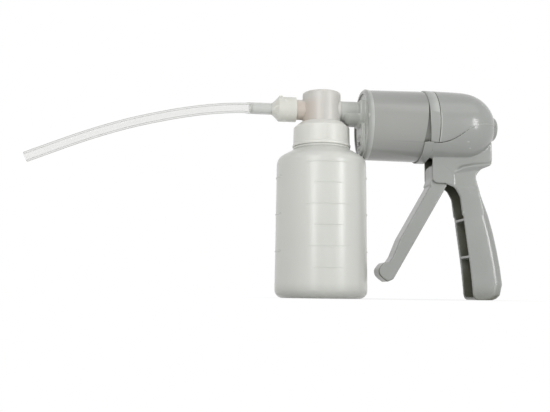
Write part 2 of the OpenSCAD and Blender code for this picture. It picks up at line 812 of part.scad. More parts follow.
module piston_screw() {
    color("#8f9290")
        about_axis(axis_z)
            polygon([[0, piston_x - 2.6], [3.4, piston_x - 2.6], [3.9, piston_x - 2.1],
                [3.9, piston_x - 0.8], [6.5, piston_x - 0.8], [6.5, piston_x], [1.55, piston_x],
                [1.55, piston_x + 11], [0, piston_x + 11]]);
}

module cross_pin() {
    half = trigger_w / 2 - 0.2;
    color("#b9bbb8")
        cross_rod(cross_x, axis_z, -half, half, cross_pin_d / 2);
}

module return_spring() {
    free_len = piston_x - cover_back_x - spring_wire;
    wire = [for (a = [0:60:300]) [spring_r + spring_wire / 2 * cos(a), spring_wire / 2 * sin(a)]];
    color("#9c9f9d")
        translate([cover_back_x + spring_wire / 2, 0, axis_z])
            rotate([0, 90, 0])
                helix(spring_turns, free_len / spring_turns, wire, 24);
}

module rod_guide() {
    color("#e6e6e2")
        about_axis(axis_z)
            polygon([[rod_r + run_gap, guide_x], [rod_r + 2.6, guide_x],
                [rod_r + 2.6, guide_x + guide_len - 1.5], [rod_r + 4.6, guide_x + guide_len - 1.5],
                [rod_r + 4.6, guide_x + guide_len], [rod_r + run_gap, guide_x + guide_len]]);
}

module pivot_pin() {
    color("#b9bbb8")
        cross_rod(pivot_x, pivot_z, -cheek_in - 1, cheek_out - 1.2, pivot_d / 2);
}

module pivot_cap() {
    color("#9ba098")
        cross_rod(pivot_x, pivot_z, cheek_out - 1.1, cheek_out + 0.3, pivot_d / 2 + 1.5);
}

// Side view of the trigger's arm, hanging down from the pivot
module arm_outline() {
    waist_y = 0.78 * arm_len;
    toe_y = arm_len - toe_r - 1.8;
    polygon([[-arm_front, -13], [-arm_front, -0.65 * arm_len], [0.8 - arm_front / 3, -waist_y],
        [toe_r * 0.2, -waist_y - 5], [-2, -toe_y + 3], [-2, -toe_y - 4],
        [1.5, -arm_len + 0.3], [arm_t - 4, -arm_len + 0.3], [arm_t - 2, -arm_len + 1.6],
        [arm_t - arm_front, -arm_len + 4.5], [arm_t - arm_front, -9.5], [arm_t - arm_front, -7.7],
        [0, 0]]);
    translate([toe_r * 0.3, -toe_y])
        circle(r = toe_r);
}

// Side view of the channel in the back of the arm
module arm_channel() {
    polygon([[trigger_wall - arm_front, -18], [trigger_wall - arm_front, -0.64 * arm_len],
        [trigger_wall + 1, -0.8 * arm_len], [arm_t, -0.86 * arm_len], [arm_t, -18]]);
}

// Side view of the fork that works the cross pin, standing up from the pivot
module fork_outline() {
    reach = pivot_drop / cos(squeeze_a / 2);
    slot = cross_pin_d / 2 + loose_gap;
    difference() {
        polygon([[-fork_w, 0], [-fork_w, reach + 3], [fork_w, reach + 3], [fork_w, 0]]);
        translate([-slot, reach - cross_pin_d])
            square([2 * slot, cross_pin_d + 4]);
    }
}

module trigger() {
    color("#9da29a")
        difference() {
            union() {
                side_view(trigger_w)
                    translate([pivot_x, pivot_z]) {
                        rotate(-arm_lean)
                            arm_outline();
                        circle(r = hub_r);
                        polygon([[-hub_r, 0], [-hub_r, -6.2], [-hub_r - 2.2, -12], [0, -12],
                            [2, -5]]);
                    }
                side_view(trigger_w)
                    translate([pivot_x, pivot_z])
                        rotate(-squeeze_a / 2)
                            fork_outline();
            }
            side_view(2 * fork_gap)
                translate([pivot_x, pivot_z])
                    rotate(-squeeze_a / 2)
                        translate([-15, hub_r + 3])
                            square([30, pivot_drop + 10]);
            side_view(trigger_w - 2 * trigger_wall)
                translate([pivot_x, pivot_z])
                    rotate(-arm_lean)
                        arm_channel();
            cross_rod(pivot_x, pivot_z, -trigger_w, trigger_w, pivot_d / 2 + run_gap);
        }
}

// Outside or inside of the dome and the pocket for the rod's tail, round the barrel's axis
module dome_solid(r, back, tail, tail_end, front_x) {
    about_axis(axis_z)
        polygon(concat([[0, front_x], [r, front_x]], dome_arc(r - dome_draft, back, tail + 0.4),
            arc(tail - tail_edge, tail_end - tail_edge, tail_edge, 0, 90, 4), [[0, tail_end]]));
}

module dome_inside() {
    dome_solid(shell_in_r, dome_back - shell_wall, tail_r - tail_wall, tail_end_x - tail_wall,
        handle_x - 1);
}

// Everything above the parting line, raised by up
module above_parting(up) {
    side_view(4 * shell_r)
        translate([0, axis_z])
            polygon(concat(parting(up),
                [[tail_end_x + past_end, past_dome], [handle_x - past_end, past_dome]]));
}

// Everything below the parting line
module below_parting() {
    side_view(4 * shell_r)
        translate([0, axis_z])
            polygon(concat(parting(0),
                [[tail_end_x + past_end, -past_dome], [handle_x - past_end, -past_dome]]));
}

module dome_cover() {
    groove = 0.4;
    groove_w = 0.8;
    color("#9fa49c")
        intersection() {
            difference() {
                dome_solid(cover_shell_r, dome_back + cover_proud, tail_r + 0.3, tail_end_x, handle_x);
                dome_inside();
                level_rod(handle_x - 1, handle_x + spigot_len, axis_z, shell_in_r);
                about_axis(axis_z)
                    polygon([[cover_shell_r - groove, handle_x + band_w],
                        [cover_shell_r + 1, handle_x + band_w],
                        [cover_shell_r + 1, handle_x + band_w + groove_w],
                        [cover_shell_r - groove, handle_x + band_w + groove_w]]);
            }
            above_parting(0.1);
        }
}

// Slices of the grip, up from the foot: share of the height, X of the front and of the back
grip_slices = [[0, foot_front_x + 1.6, foot_back_x - 5.1], [0.032, foot_front_x, foot_back_x - 0.9],
    [0.13, foot_front_x - 0.7, foot_back_x + 1.7], [0.37, foot_front_x - 3.4, foot_back_x - 1.5],
    [0.65, foot_front_x - 6.6, foot_back_x - 7.3],
    [0.93, grip_front_x, foot_back_x - foot_kick + 0.4], [1, grip_front_x - 0.6, grip_top_x - 0.6]];

// One ring of the grip, seen from above: square at the front and rounded at the back
function grip_ring(z, front, back, half_w, r) = concat(
    [[front, -half_w, z], [front, half_w, z]],
    [for (p = arc(back - r, half_w - r, r, 90, 0, 5)) [p[0], p[1], z]],
    [for (p = arc(back - r, r - half_w, r, 0, -90, 5)) [p[0], p[1], z]]);

// The grip, or the hollow in it with its walls t thick and its front pushed out
module grip_solid(half_w, t, push_front) {
    loft([for (s = grip_slices)
        grip_ring(t + s[0] * (head_bottom + 6 - t), s[1] - push_front, s[2] - t, half_w,
            grip_round - t / 2)]);
}

module handle_housing() {
    color("#9da29a")
        handle_solid();
}

// Side view of the head: cheeks round the trigger, with the web for the thumb at the back
module head_outline() {
    polygon(concat([[head_x, shell_low]],
        arc(head_x + 4, head_bottom + 4, 4, 180, 270, 4),
        [[head_x + 0.26 * head_len, head_bottom - 0.4],
            [head_x + 0.37 * head_len, head_bottom - 0.29 * head_drop],
            [head_x + 0.43 * head_len, head_bottom - 0.57 * head_drop],
            [head_x + 0.47 * head_len, head_bottom - 1.14 * head_drop],
            [head_x + 0.87 * head_len, head_bottom - 1.14 * head_drop],
            [grip_top_x + 0.4, head_bottom - 1], [grip_top_x - 0.8, head_bottom + 0.57 * head_drop],
            [grip_top_x + 0.2, head_bottom + 0.86 * head_drop],
            [grip_top_x + 3.5, head_bottom + 1.07 * head_drop],
            [head_back_x - 4, head_bottom + 1.26 * head_drop],
            [head_back_x - 1.2, head_bottom + 1.43 * head_drop],
            [head_back_x, head_bottom + 1.67 * head_drop], [head_back_x, shell_low]]));
}

module handle_solid() {
    band_out = 0.8;
    saddle_w = 2 * rod_r + 14;
    bay_back = pivot_x + 12.5;
    difference() {
        union() {
            intersection() {
                union() {
                    dome_solid(shell_r, dome_back, tail_r, tail_end_x, handle_x);
                    level_rod(handle_x - lip_len, handle_x - lip_len + band_w, axis_z,
                        shell_r + band_out);
                }
                below_parting();
            }
            side_view(2 * cheek_out)
                head_outline();
            grip_solid(cheek_out, 0, 0);
        }
        difference() {
            dome_inside();
            intersection() {
                level_rod(guide_x, guide_x + bulkhead_t, axis_z, shell_in_r + 1);
                union() {
                    below_parting();
                    translate([guide_x, -saddle_w / 2, axis_z - shell_in_r / 2])
                        cube([bulkhead_t, saddle_w, shell_in_r / 2]);
                }
            }
        }
        level_rod(handle_x - 2 * lip_len, handle_x, axis_z, barrel_back_r + snug_gap);
        level_rod(handle_x - 1, handle_x + spigot_len, axis_z, shell_in_r);
        level_rod(guide_x - 1, guide_x + bulkhead_t + 1, axis_z, rod_r + 2.6 + snug_gap);
        side_view(2 * cheek_in)
            polygon([[head_x - 2.5, pivot_z - 2.3 * head_drop],
                [bay_back - 0.5, pivot_z - 2.3 * head_drop], [bay_back, pivot_z - hub_r],
                [bay_back - 3, shell_low], [head_x - 2.5, shell_low]]);
        side_view(2 * cheek_in)
            polygon([[bay_back + 2, head_bottom + 1.33 * head_drop], [bay_back + 2, shell_low],
                [head_back_x - handle_wall, shell_low],
                [head_back_x - handle_wall, head_bottom + 1.72 * head_drop],
                [head_back_x - 8, head_bottom + 1.43 * head_drop]]);
        difference() {
            grip_solid(cheek_in, handle_wall, 3);
            for (share = [0.36, 0.68])
                translate([foot_front_x - 10, -cheek_out, share * head_bottom])
                    cube([grip_depth + 20, 2 * cheek_out, handle_wall]);
        }
        cross_rod(pivot_x, pivot_z, -cheek_in - 1.1, cheek_out + 1, pivot_d / 2 + 0.02);
        cross_rod(pivot_x, pivot_z, cheek_out - 1.1, cheek_out + 1, pivot_d / 2 + 1.52);
    }
}

handle_housing();
dome_cover();
barrel();
front_ring();
front_cover();
cover_seal();
nozzle_seal();
exhaust_guard();
inlet_cage();
inlet_disc();
exhaust_disc();
return_spring();
rod_guide();
pivot_pin();
pivot_cap();
trigger();
piston_head();
piston_seal();
piston_rod();
piston_screw();
cross_pin();
valve_head();
port_gasket();
screw_collar();
canister();
inlet_sleeve();
float_cage();
float_seat();
float_ball();
catheter_adapter();
catheter_tube();
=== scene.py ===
# Manual suction pump: the looks of its plastics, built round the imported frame.
# Lengths are in metres. X runs from the canister to the grip and Z is up.
import json
import math

import bmesh
import bpy
from mathutils import Matrix, Vector


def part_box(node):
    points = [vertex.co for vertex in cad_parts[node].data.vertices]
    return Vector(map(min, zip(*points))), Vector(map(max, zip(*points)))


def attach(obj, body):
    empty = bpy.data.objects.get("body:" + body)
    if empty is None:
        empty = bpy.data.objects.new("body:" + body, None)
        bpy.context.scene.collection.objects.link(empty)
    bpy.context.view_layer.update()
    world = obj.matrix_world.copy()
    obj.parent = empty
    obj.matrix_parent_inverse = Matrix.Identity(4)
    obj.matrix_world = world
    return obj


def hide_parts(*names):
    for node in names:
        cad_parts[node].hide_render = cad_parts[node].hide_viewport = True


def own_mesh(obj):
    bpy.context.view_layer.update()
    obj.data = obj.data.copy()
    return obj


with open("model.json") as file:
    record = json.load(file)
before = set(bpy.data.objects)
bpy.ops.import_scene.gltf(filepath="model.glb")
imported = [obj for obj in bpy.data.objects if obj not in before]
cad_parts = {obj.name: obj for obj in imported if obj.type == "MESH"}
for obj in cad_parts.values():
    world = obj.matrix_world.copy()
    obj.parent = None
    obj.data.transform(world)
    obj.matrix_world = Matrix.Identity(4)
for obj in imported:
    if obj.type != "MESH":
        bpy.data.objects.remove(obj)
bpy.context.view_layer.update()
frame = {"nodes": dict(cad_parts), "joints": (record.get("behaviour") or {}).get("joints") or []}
nodes = frame["nodes"]
joints = {joint["name"]: joint for joint in frame["joints"]}
mm = 0.001
past = 1 * mm  # how far a cut runs past a face


def say(text):
    print("suction pump:", text)


# Places that the frame gives
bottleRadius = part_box("canister")[1][1]
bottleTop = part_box("canister")[1][2]
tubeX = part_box("catheter_tube")[1][0]
adapterLow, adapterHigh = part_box("catheter_adapter")
collarLow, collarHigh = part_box("screw_collar")
headLow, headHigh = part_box("valve_head")
ringLow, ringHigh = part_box("front_ring")
coverLow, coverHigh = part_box("front_cover")
guardLow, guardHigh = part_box("exhaust_guard")
barrelLow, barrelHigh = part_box("barrel")
domeLow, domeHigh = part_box("dome_cover")
capLow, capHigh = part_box("pivot_cap")
springLow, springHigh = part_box("return_spring")
portZ = joints["catheter_swivel"]["pos_m"][2]
pivotX, _, pivotZ = joints["trigger_squeeze"]["pos_m"]
squeeze = joints["trigger_squeeze"]["range_deg"][1]
axisZ = (ringLow[2] + ringHigh[2]) / 2
handleX = domeLow[0]
# Level lines along X, as (y, z): through the ports of the lid, and through the barrel
portLine, barrelLine = (0, portZ), (0, axisZ)

# The photograph's camera, worked out from the object's own edges
cameraSetup = {
    "place": (-91 * mm, -549 * mm, 3 * mm),
    "yaw": 5.87,
    "pitch": 6.67,
    "roll": 0.67,
    "focalPixels": 750,
    "imageWidth": 550,
    "sensor": 36,
    "nearest": 10 * mm,
}


def placeCamera(setup):
    data = bpy.data.cameras.new("photoCamera")
    data.sensor_width = setup["sensor"]
    data.lens = setup["sensor"] * setup["focalPixels"] / setup["imageWidth"]
    data.clip_start = setup["nearest"]
    camera = bpy.data.objects.new("photoCamera", data)
    yaw, pitch, roll = (math.radians(setup[key]) for key in ("yaw", "pitch", "roll"))
    flat = math.cos(pitch)
    forward = Vector((math.sin(yaw) * flat, math.cos(yaw) * flat, math.sin(pitch)))
    level = Vector((math.cos(yaw), -math.sin(yaw), 0))
    above = level.cross(forward)
    right = level * math.cos(roll) + above * math.sin(roll)
    up = above * math.cos(roll) - level * math.sin(roll)
    turn = Matrix((right, up, -forward)).transposed().to_4x4()
    camera.matrix_world = Matrix.Translation(setup["place"]) @ turn
    bpy.context.collection.objects.link(camera)
    bpy.context.scene.camera = camera


placeCamera(cameraSetup)


# Tools for outlines
def clamp(value, low=0, high=1):
    return min(max(value, low), high)


def ease(share):
    # 0 to 1 with soft ends
    share = clamp(share)
    return share * share * (3 - 2 * share)


def between(pair, share):
    return pair[0] + (pair[1] - pair[0]) * share


def arc(cx, cy, radius, start, end, steps=8):
    turns = [math.radians(start + (end - start) * i / steps) for i in range(steps + 1)]
    return [(cx + radius * math.cos(a), cy + radius * math.sin(a)) for a in turns]


def rounded(points, steps=5):
    # a point's third value is the radius that its corner is rounded to
    out = []
    for i, point in enumerate(points):
        here = Vector(point[:2])
        radius = point[2] if len(point) > 2 else 0
        if not radius:
            out.append(tuple(here))
            continue
        before = Vector(points[i - 1][:2]) - here
        after = Vector(points[(i + 1) % len(points)][:2]) - here
        cut = radius / math.tan(before.angle(after) / 2)
        cut = min(cut, 0.48 * before.length, 0.48 * after.length)  # leaves room for the next corner
        start = here + before.normalized() * cut
        end = here + after.normalized() * cut
        for step in range(steps + 1):
            t = step / steps
            out.append(tuple(start * (1 - t) ** 2 + here * 2 * t * (1 - t) + end * t * t))
    return out


def smoothLine(points, steps=6):
    # a soft curve through all the points
    out = []
    last = len(points) - 1
    vectors = [Vector(p) for p in points]
    for i in range(last):
        p0, p1 = vectors[max(i - 1, 0)], vectors[i]
        p2, p3 = vectors[i + 1], vectors[min(i + 2, last)]
        for step in range(steps):
            t = step / steps
            out.append(
                0.5 * (2 * p1 + (p2 - p0) * t + (2 * p0 - 5 * p1 + 4 * p2 - p3) * t * t
                       + (3 * p1 - p0 - 3 * p2 + p3) * t ** 3)
            )
    out.append(vectors[last])
    return out


def heightOn(line, x):
    # the height of a line of (x, z) points at x
    for a, b in zip(line, line[1:]):
        if x <= b[0]:
            return a[1] + (b[1] - a[1]) * max(x - a[0], 0) / (b[0] - a[0])
    return line[-1][1]


# Tools for meshes
def newPiece(name, verts, faces):
    mesh = bpy.data.meshes.new(name)
    mesh.from_pydata([tuple(v) for v in verts], [], faces)
    bm = bmesh.new()
    bm.from_mesh(mesh)
    bmesh.ops.remove_doubles(bm, verts=bm.verts, dist=1e-7)
    bmesh.ops.recalc_face_normals(bm, faces=bm.faces)
    bm.to_mesh(mesh)
    bm.free()
    piece = bpy.data.objects.new(name, mesh)
    bpy.context.collection.objects.link(piece)
    return piece


def lathe(name, profile, along="Z", centre=(0, 0), sides=128):
    # turns a closed profile of (radius, place) round an upright or a level axis
    verts, rings, faces = [], [], []
    for radius, place in profile:
        count = sides if radius > 1e-6 else 1
        ring = []
        for i in range(count):
            a = 2 * math.pi * i / count
            u, v = centre[0] + radius * math.cos(a), centre[1] + radius * math.sin(a)
            ring.append(len(verts))
            verts.append((u, v, place) if along == "Z" else (place, u, v))
        rings.append(ring)
    for i, ring in enumerate(rings):
        other = rings[(i + 1) % len(rings)]
        if len(ring) == 1 and len(other) == 1:
            continue
        for j in range(sides):
            k = (j + 1) % sides
            if len(ring) == 1:
                faces.append((ring[0], other[j], other[k]))
            elif len(other) == 1:
                faces.append((ring[j], other[0], ring[k]))
            else:
                faces.append((ring[j], other[j], other[k], ring[k]))
    return newPiece(name, verts, faces)


def roundBar(name, radius, start, end, along="X", centre=(0, 0), sides=96):
    profile = [(0, start), (radius, start), (radius, end), (0, end)]
    return lathe(name, profile, along, centre, sides)


def prism(name, outline, half):
    # a side view of (x, z) points, as thick as twice the half across
    count = len(outline)
    verts = [(x, -half, z) for x, z in outline] + [(x, half, z) for x, z in outline]
    faces = [tuple(range(count)), tuple(range(2 * count - 1, count - 1, -1))]
    for i in range(count):
        j = (i + 1) % count
        faces.append((i, j, count + j, count + i))
    return newPiece(name, verts, faces)


def block(name, low, high, half):
    # a box between two (x, z) corners
    outline = [(low[0], low[1]), (high[0], low[1]), (high[0], high[1]), (low[0], high[1])]
    return prism(name, outline, half)


def loft(name, rings):
    # a skin over rings of the same number of points, closed at both ends
    count = len(rings[0])
    verts = [point for ring in rings for point in ring]
    faces = [tuple(range(count)), tuple(range(len(verts) - 1, len(verts) - count - 1, -1))]
    for i in range(len(rings) - 1):
        for j in range(count):
            k = (j + 1) % count
            a, b = i * count, (i + 1) * count
            faces.append((a + j, a + k, b + k, b + j))
    return newPiece(name, verts, faces)


def settle(piece):
    # takes the live modifiers into the mesh
    view = bpy.context.evaluated_depsgraph_get()
    mesh = bpy.data.meshes.new_from_object(piece.evaluated_get(view))
    piece.modifiers.clear()
    piece.data = mesh
    return piece


def combine(piece, how, *others):
    for other in others:
        step = piece.modifiers.new(how, "BOOLEAN")
        step.operation = how
        step.solver = "MANIFOLD"
        step.object = other
    settle(piece)
    for other in others:
        bpy.data.objects.remove(other)
    return piece


def bevel(piece, width, segments=3, angle=35):
    step = piece.modifiers.new("edges", "BEVEL")
    step.width = width
    step.segments = segments
    step.limit_method = "ANGLE"
    step.angle_limit = math.radians(angle)
    step.harden_normals = False
    return settle(piece)


def moulded(piece, grid, passes):
    # gives a cut and joined shape the soft edges and fillets of a moulding
    step = piece.modifiers.new("grid", "REMESH")
    step.mode = "VOXEL"
    step.voxel_size = grid
    soft = piece.modifiers.new("soft", "SMOOTH")
    soft.factor = 0.5
    soft.iterations = passes
    return settle(piece)


def thinned(piece, share):
    step = piece.modifiers.new("thin", "DECIMATE")
    step.ratio = share
    return settle(piece)


def keepFlats(piece, angle=40):
    # sharp edges stay sharp, soft ones stay soft
    bm = bmesh.new()
    bm.from_mesh(piece.data)
    limit = math.radians(angle)
    for edge in bm.edges:
        edge.smooth = len(edge.link_faces) == 2 and edge.calc_face_angle(0) < limit
    bm.to_mesh(piece.data)
    bm.free()
    return piece


def layOnPivot(piece, degrees):
    # turns an upright piece level and brings it to the trigger's pivot
    turn = Matrix.Rotation(math.radians(degrees), 4, "X")
    piece.data.transform(Matrix.Translation((pivotX, 0, pivotZ)) @ turn)
    return piece


def dress(piece, look, body, node):
    piece.data.materials.clear()
    piece.data.materials.append(finish[look])
    for face in piece.data.polygons:
        face.use_smooth = True
    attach(piece, body)
    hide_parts(node)
    return piece


# Tools for node trees
def feed(tree, value, socket):
    # links another node's socket, or sets a plain value
    if isinstance(value, bpy.types.NodeSocket):
        tree.links.new(value, socket)
    else:
        socket.default_value = value


def setInputs(tree, node, **inputs):
    for key, value in inputs.items():
        feed(tree, value, node.inputs[key.replace("_", " ")])


def addNode(tree, kind, settings=None, **inputs):
    node = tree.nodes.new(kind)
    for key, value in (settings or {}).items():
        setattr(node, key, value)
    setInputs(tree, node, **inputs)
    return node


def addSocket(tree, name, kind, way="INPUT", value=None):
    socket = tree.interface.new_socket(name=name, in_out=way, socket_type="NodeSocket" + kind)
    if value is not None:
        socket.default_value = value


def maths(tree, operation, *values):
    node = addNode(tree, "ShaderNodeMath", {"operation": operation})
    for socket, value in zip(node.inputs, values):
        feed(tree, value, socket)
    return node.outputs[0]


def vector(tree, x=0, y=0, z=0):
    return addNode(tree, "ShaderNodeCombineXYZ", X=x, Y=y, Z=z).outputs[0]


def spread(tree, value, fromMin, fromMax, toMin=0, toMax=1, soft=False):
    # carries one range of values over to another
    settings = {"interpolation_type": "SMOOTHSTEP" if soft else "LINEAR"}
    node = addNode(tree, "ShaderNodeMapRange", settings, Value=value, From_Min=fromMin, From_Max=fromMax,
                   To_Min=toMin, To_Max=toMax)
    return node.outputs["Result"]


# Geometry trees for what repeats
def startTree(name, **sockets):
    # a tree with named inputs of the kinds given, one for the material, and one output
    tree = bpy.data.node_groups.new(name, "GeometryNodeTree")
    for title, kind in sockets.items():
        addSocket(tree, title, kind)
    addSocket(tree, "finish", "Material")
    addSocket(tree, "shape", "Geometry", "OUTPUT")
    return tree, addNode(tree, "NodeGroupInput").outputs


def finishTree(tree, shape, material):
    real = addNode(tree, "GeometryNodeRealizeInstances", Geometry=shape)
    paint = addNode(tree, "GeometryNodeSetMaterial", Geometry=real.outputs["Geometry"], Material=material)
    end = addNode(tree, "NodeGroupOutput")
    feed(tree, paint.outputs["Geometry"], end.inputs[0])
    return tree


def pipe(tree, line, profile):
    skin = addNode(tree, "GeometryNodeCurveToMesh", Fill_Caps=True, Curve=line.outputs["Curve"],
                   Profile_Curve=profile.outputs["Curve"])
    return skin.outputs["Mesh"]


def treePiece(name, tree, **values):
    # a mesh piece made by a geometry tree with these inputs
    piece = bpy.data.objects.new(name, bpy.data.meshes.new(name))
    bpy.context.collection.objects.link(piece)
    step = piece.modifiers.new("shape", "NODES")
    step.node_group = tree
    items = [item for item in tree.interface.items_tree if item.item_type == "SOCKET"]
    sockets = {item.name: item.identifier for item in items}
    for key, value in values.items():
        step[sockets[key]] = value
    return settle(piece)


def helixTree():
    # a round wire wound round Z, then turned and moved
    tree, start = startTree("helixWire", turns="Float", radius="Float", rise="Float", wire="Float",
                            turn="Vector", place="Vector")
    spiral = addNode(tree, "GeometryNodeCurveSpiral", Resolution=48, Rotations=start["turns"],
                     Start_Radius=start["radius"], End_Radius=start["radius"], Height=start["rise"])
    circle = addNode(tree, "GeometryNodeCurvePrimitiveCircle", Resolution=10, Radius=start["wire"])
    move = addNode(tree, "GeometryNodeTransform", Geometry=pipe(tree, spiral, circle),
                   Translation=start["place"], Rotation=start["turn"])
    return finishTree(tree, move.outputs["Geometry"], start["finish"])


def markTree():
    # a ladder of raised bars that follow the bottle's wall
    tree, start = startTree("volumeMarks", radius="Float", start="Float", sweep="Float", first="Float",
                            step="Float", bar="Float", taper="Float", count="Int")
    bend = addNode(tree, "GeometryNodeCurveArc", {"mode": "RADIUS"}, Resolution=24,
                   Radius=start["radius"], Start_Angle=start["start"], Sweep_Angle=start["sweep"])
    circle = addNode(tree, "GeometryNodeCurvePrimitiveCircle", Resolution=8, Radius=start["bar"])
    ladder = addNode(tree, "GeometryNodeMeshLine", Count=start["count"],
                     Start_Location=vector(tree, z=start["first"]), Offset=vector(tree, z=start["step"]))
    # each rung is a little narrower than the one below, as the wall is
    index = addNode(tree, "GeometryNodeInputIndex").outputs[0]
    width = maths(tree, "SUBTRACT", 1, maths(tree, "MULTIPLY", index, start["taper"]))
    rungs = addNode(tree, "GeometryNodeInstanceOnPoints", Points=ladder.outputs["Mesh"],
                    Instance=pipe(tree, bend, circle), Scale=vector(tree, width, width, 1))
    return finishTree(tree, rungs.outputs["Instances"], start["finish"])


def grilleTree():
    # spokes round a hub inside a rim
    tree, start = startTree("exhaustGrille", radius="Float", hub="Float", depth="Float", bar="Float",
                            count="Int", place="Vector")
    bar = addNode(tree, "GeometryNodeMeshCube",
                  Size=vector(tree, start["radius"], start["bar"], start["depth"]))
    outwards = vector(tree, maths(tree, "MULTIPLY", start["radius"], 0.5))
    spoke = addNode(tree, "GeometryNodeTransform", Geometry=bar.outputs["Mesh"], Translation=outwards)
    points = addNode(tree, "GeometryNodeMeshLine", Count=start["count"], Offset=(0, 0, 0))
    share = maths(tree, "DIVIDE", addNode(tree, "GeometryNodeInputIndex").outputs[0], start["count"])
    spin = vector(tree, z=maths(tree, "MULTIPLY", share, 2 * math.pi))
    spokes = addNode(tree, "GeometryNodeInstanceOnPoints", Points=points.outputs["Mesh"],
                     Instance=spoke.outputs["Geometry"], Rotation=spin)
    hub = addNode(tree, "GeometryNodeMeshCylinder", Vertices=32, Radius=start["hub"], Depth=start["depth"])
    ring = addNode(tree, "GeometryNodeCurvePrimitiveCircle", Resolution=64, Radius=start["radius"])
    edge = addNode(tree, "GeometryNodeCurvePrimitiveQuadrilateral", Width=start["bar"],
                   Height=start["depth"])
    whole = addNode(tree, "GeometryNodeJoinGeometry")
    for part in (spokes.outputs["Instances"], hub.outputs["Mesh"], pipe(tree, ring, edge)):
        feed(tree, part, whole.inputs["Geometry"])
    move = addNode(tree, "GeometryNodeTransform", Geometry=whole.outputs["Geometry"],
                   Translation=start["place"], Rotation=(0, math.pi / 2, 0))
    return finishTree(tree, move.outputs["Geometry"], start["finish"])


# Tools for shaders
def objectPlace(tree):
    return addNode(tree, "ShaderNodeTexCoord").outputs["Object"]


def stretchedPlace(tree, scale):
    return addNode(tree, "ShaderNodeMapping", Vector=objectPlace(tree), Scale=scale).outputs["Vector"]


def axesOf(tree, place):
    return addNode(tree, "ShaderNodeSeparateXYZ", Vector=place).outputs


def noise(tree, place, scale, detail, roughness=0.5):
    node = addNode(tree, "ShaderNodeTexNoise", Vector=place, Scale=scale, Detail=detail,
                   Roughness=roughness)
    return node.outputs["Fac"]


def bumpFrom(tree, height, strength, distance):
    node = addNode(tree, "ShaderNodeBump", Strength=strength, Distance=distance, Height=height)
    return node.outputs["Normal"]


def mixTint(tree, factor, first, second):
    # each tint is a colour or another node's socket
    mix = addNode(tree, "ShaderNodeMix", {"data_type": "RGBA"})
    feed(tree, factor, mix.inputs[0])
    for socket, tint in ((mix.inputs[6], first), (mix.inputs[7], second)):
        feed(tree, (*tint, 1) if isinstance(tint, tuple) else tint, socket)
    return mix.outputs[2]


def mixShaders(tree, factor, first, second):
    both = addNode(tree, "ShaderNodeMixShader")
    for socket, value in zip(both.inputs, (factor, first.outputs[0], second.outputs[0])):
        feed(tree, value, socket)
    return both.outputs[0]


def blankMaterial(name):
    material = bpy.data.materials.new(name)
    material.use_nodes = True
    tree = material.node_tree
    return material, tree, tree.nodes["Principled BSDF"]


# Shared shader effects
def startGroup(name, inputs, outputs):
    # an effect with named inputs, each with its usual value, and named outputs
    tree = bpy.data.node_groups.new(name, "ShaderNodeTree")
    for title, value in inputs.items():
        addSocket(tree, title, "Float", value=value)
    for title in outputs:
        addSocket(tree, title, "Float", "OUTPUT")
    return tree, addNode(tree, "NodeGroupInput").outputs


def mouldGrainGroup():
    # fine moulded texture, with slow drifts of tone as in thick plastic
    usual = {"Grain": 2500, "Drift": 40, "Rough Low": 0.3, "Rough High": 0.4}
    tree, start = startGroup("mouldGrain", usual, ("Height", "Roughness", "Tone"))
    place = objectPlace(tree)
    grain = noise(tree, place, start["Grain"], 3, 0.6)
    drift = noise(tree, place, start["Drift"], 4, 0.55)
    height = maths(tree, "MULTIPLY_ADD", grain, 0.35, drift)
    faint, strong = 0.3, 0.7
    rough = spread(tree, drift, faint, strong, start["Rough Low"], start["Rough High"])
    tone = spread(tree, drift, faint, strong)
    addNode(tree, "NodeGroupOutput", Height=height, Roughness=rough, Tone=tone)
    return tree


def edgeHighlightCreaseShadeGroup():
    # masks of outer edges, for a painted highlight, and of inner creases, for painted shade
    tree, start = startGroup("edgeHighlightCreaseShade", {"Sharp From": 0.52, "Sharp To": 0.6}, ("Edge", "Crease"))
    sharpness = addNode(tree, "ShaderNodeNewGeometry").outputs["Pointiness"]
    edge = spread(tree, sharpness, start["Sharp From"], start["Sharp To"])
    creaseShade = spread(tree, sharpness, 0.48, 0.4)
    addNode(tree, "NodeGroupOutput", Edge=edge, Crease=creaseShade)
    return tree


mouldGrain = mouldGrainGroup()
edgeHighlightCreaseShade = edgeHighlightCreaseShadeGroup()
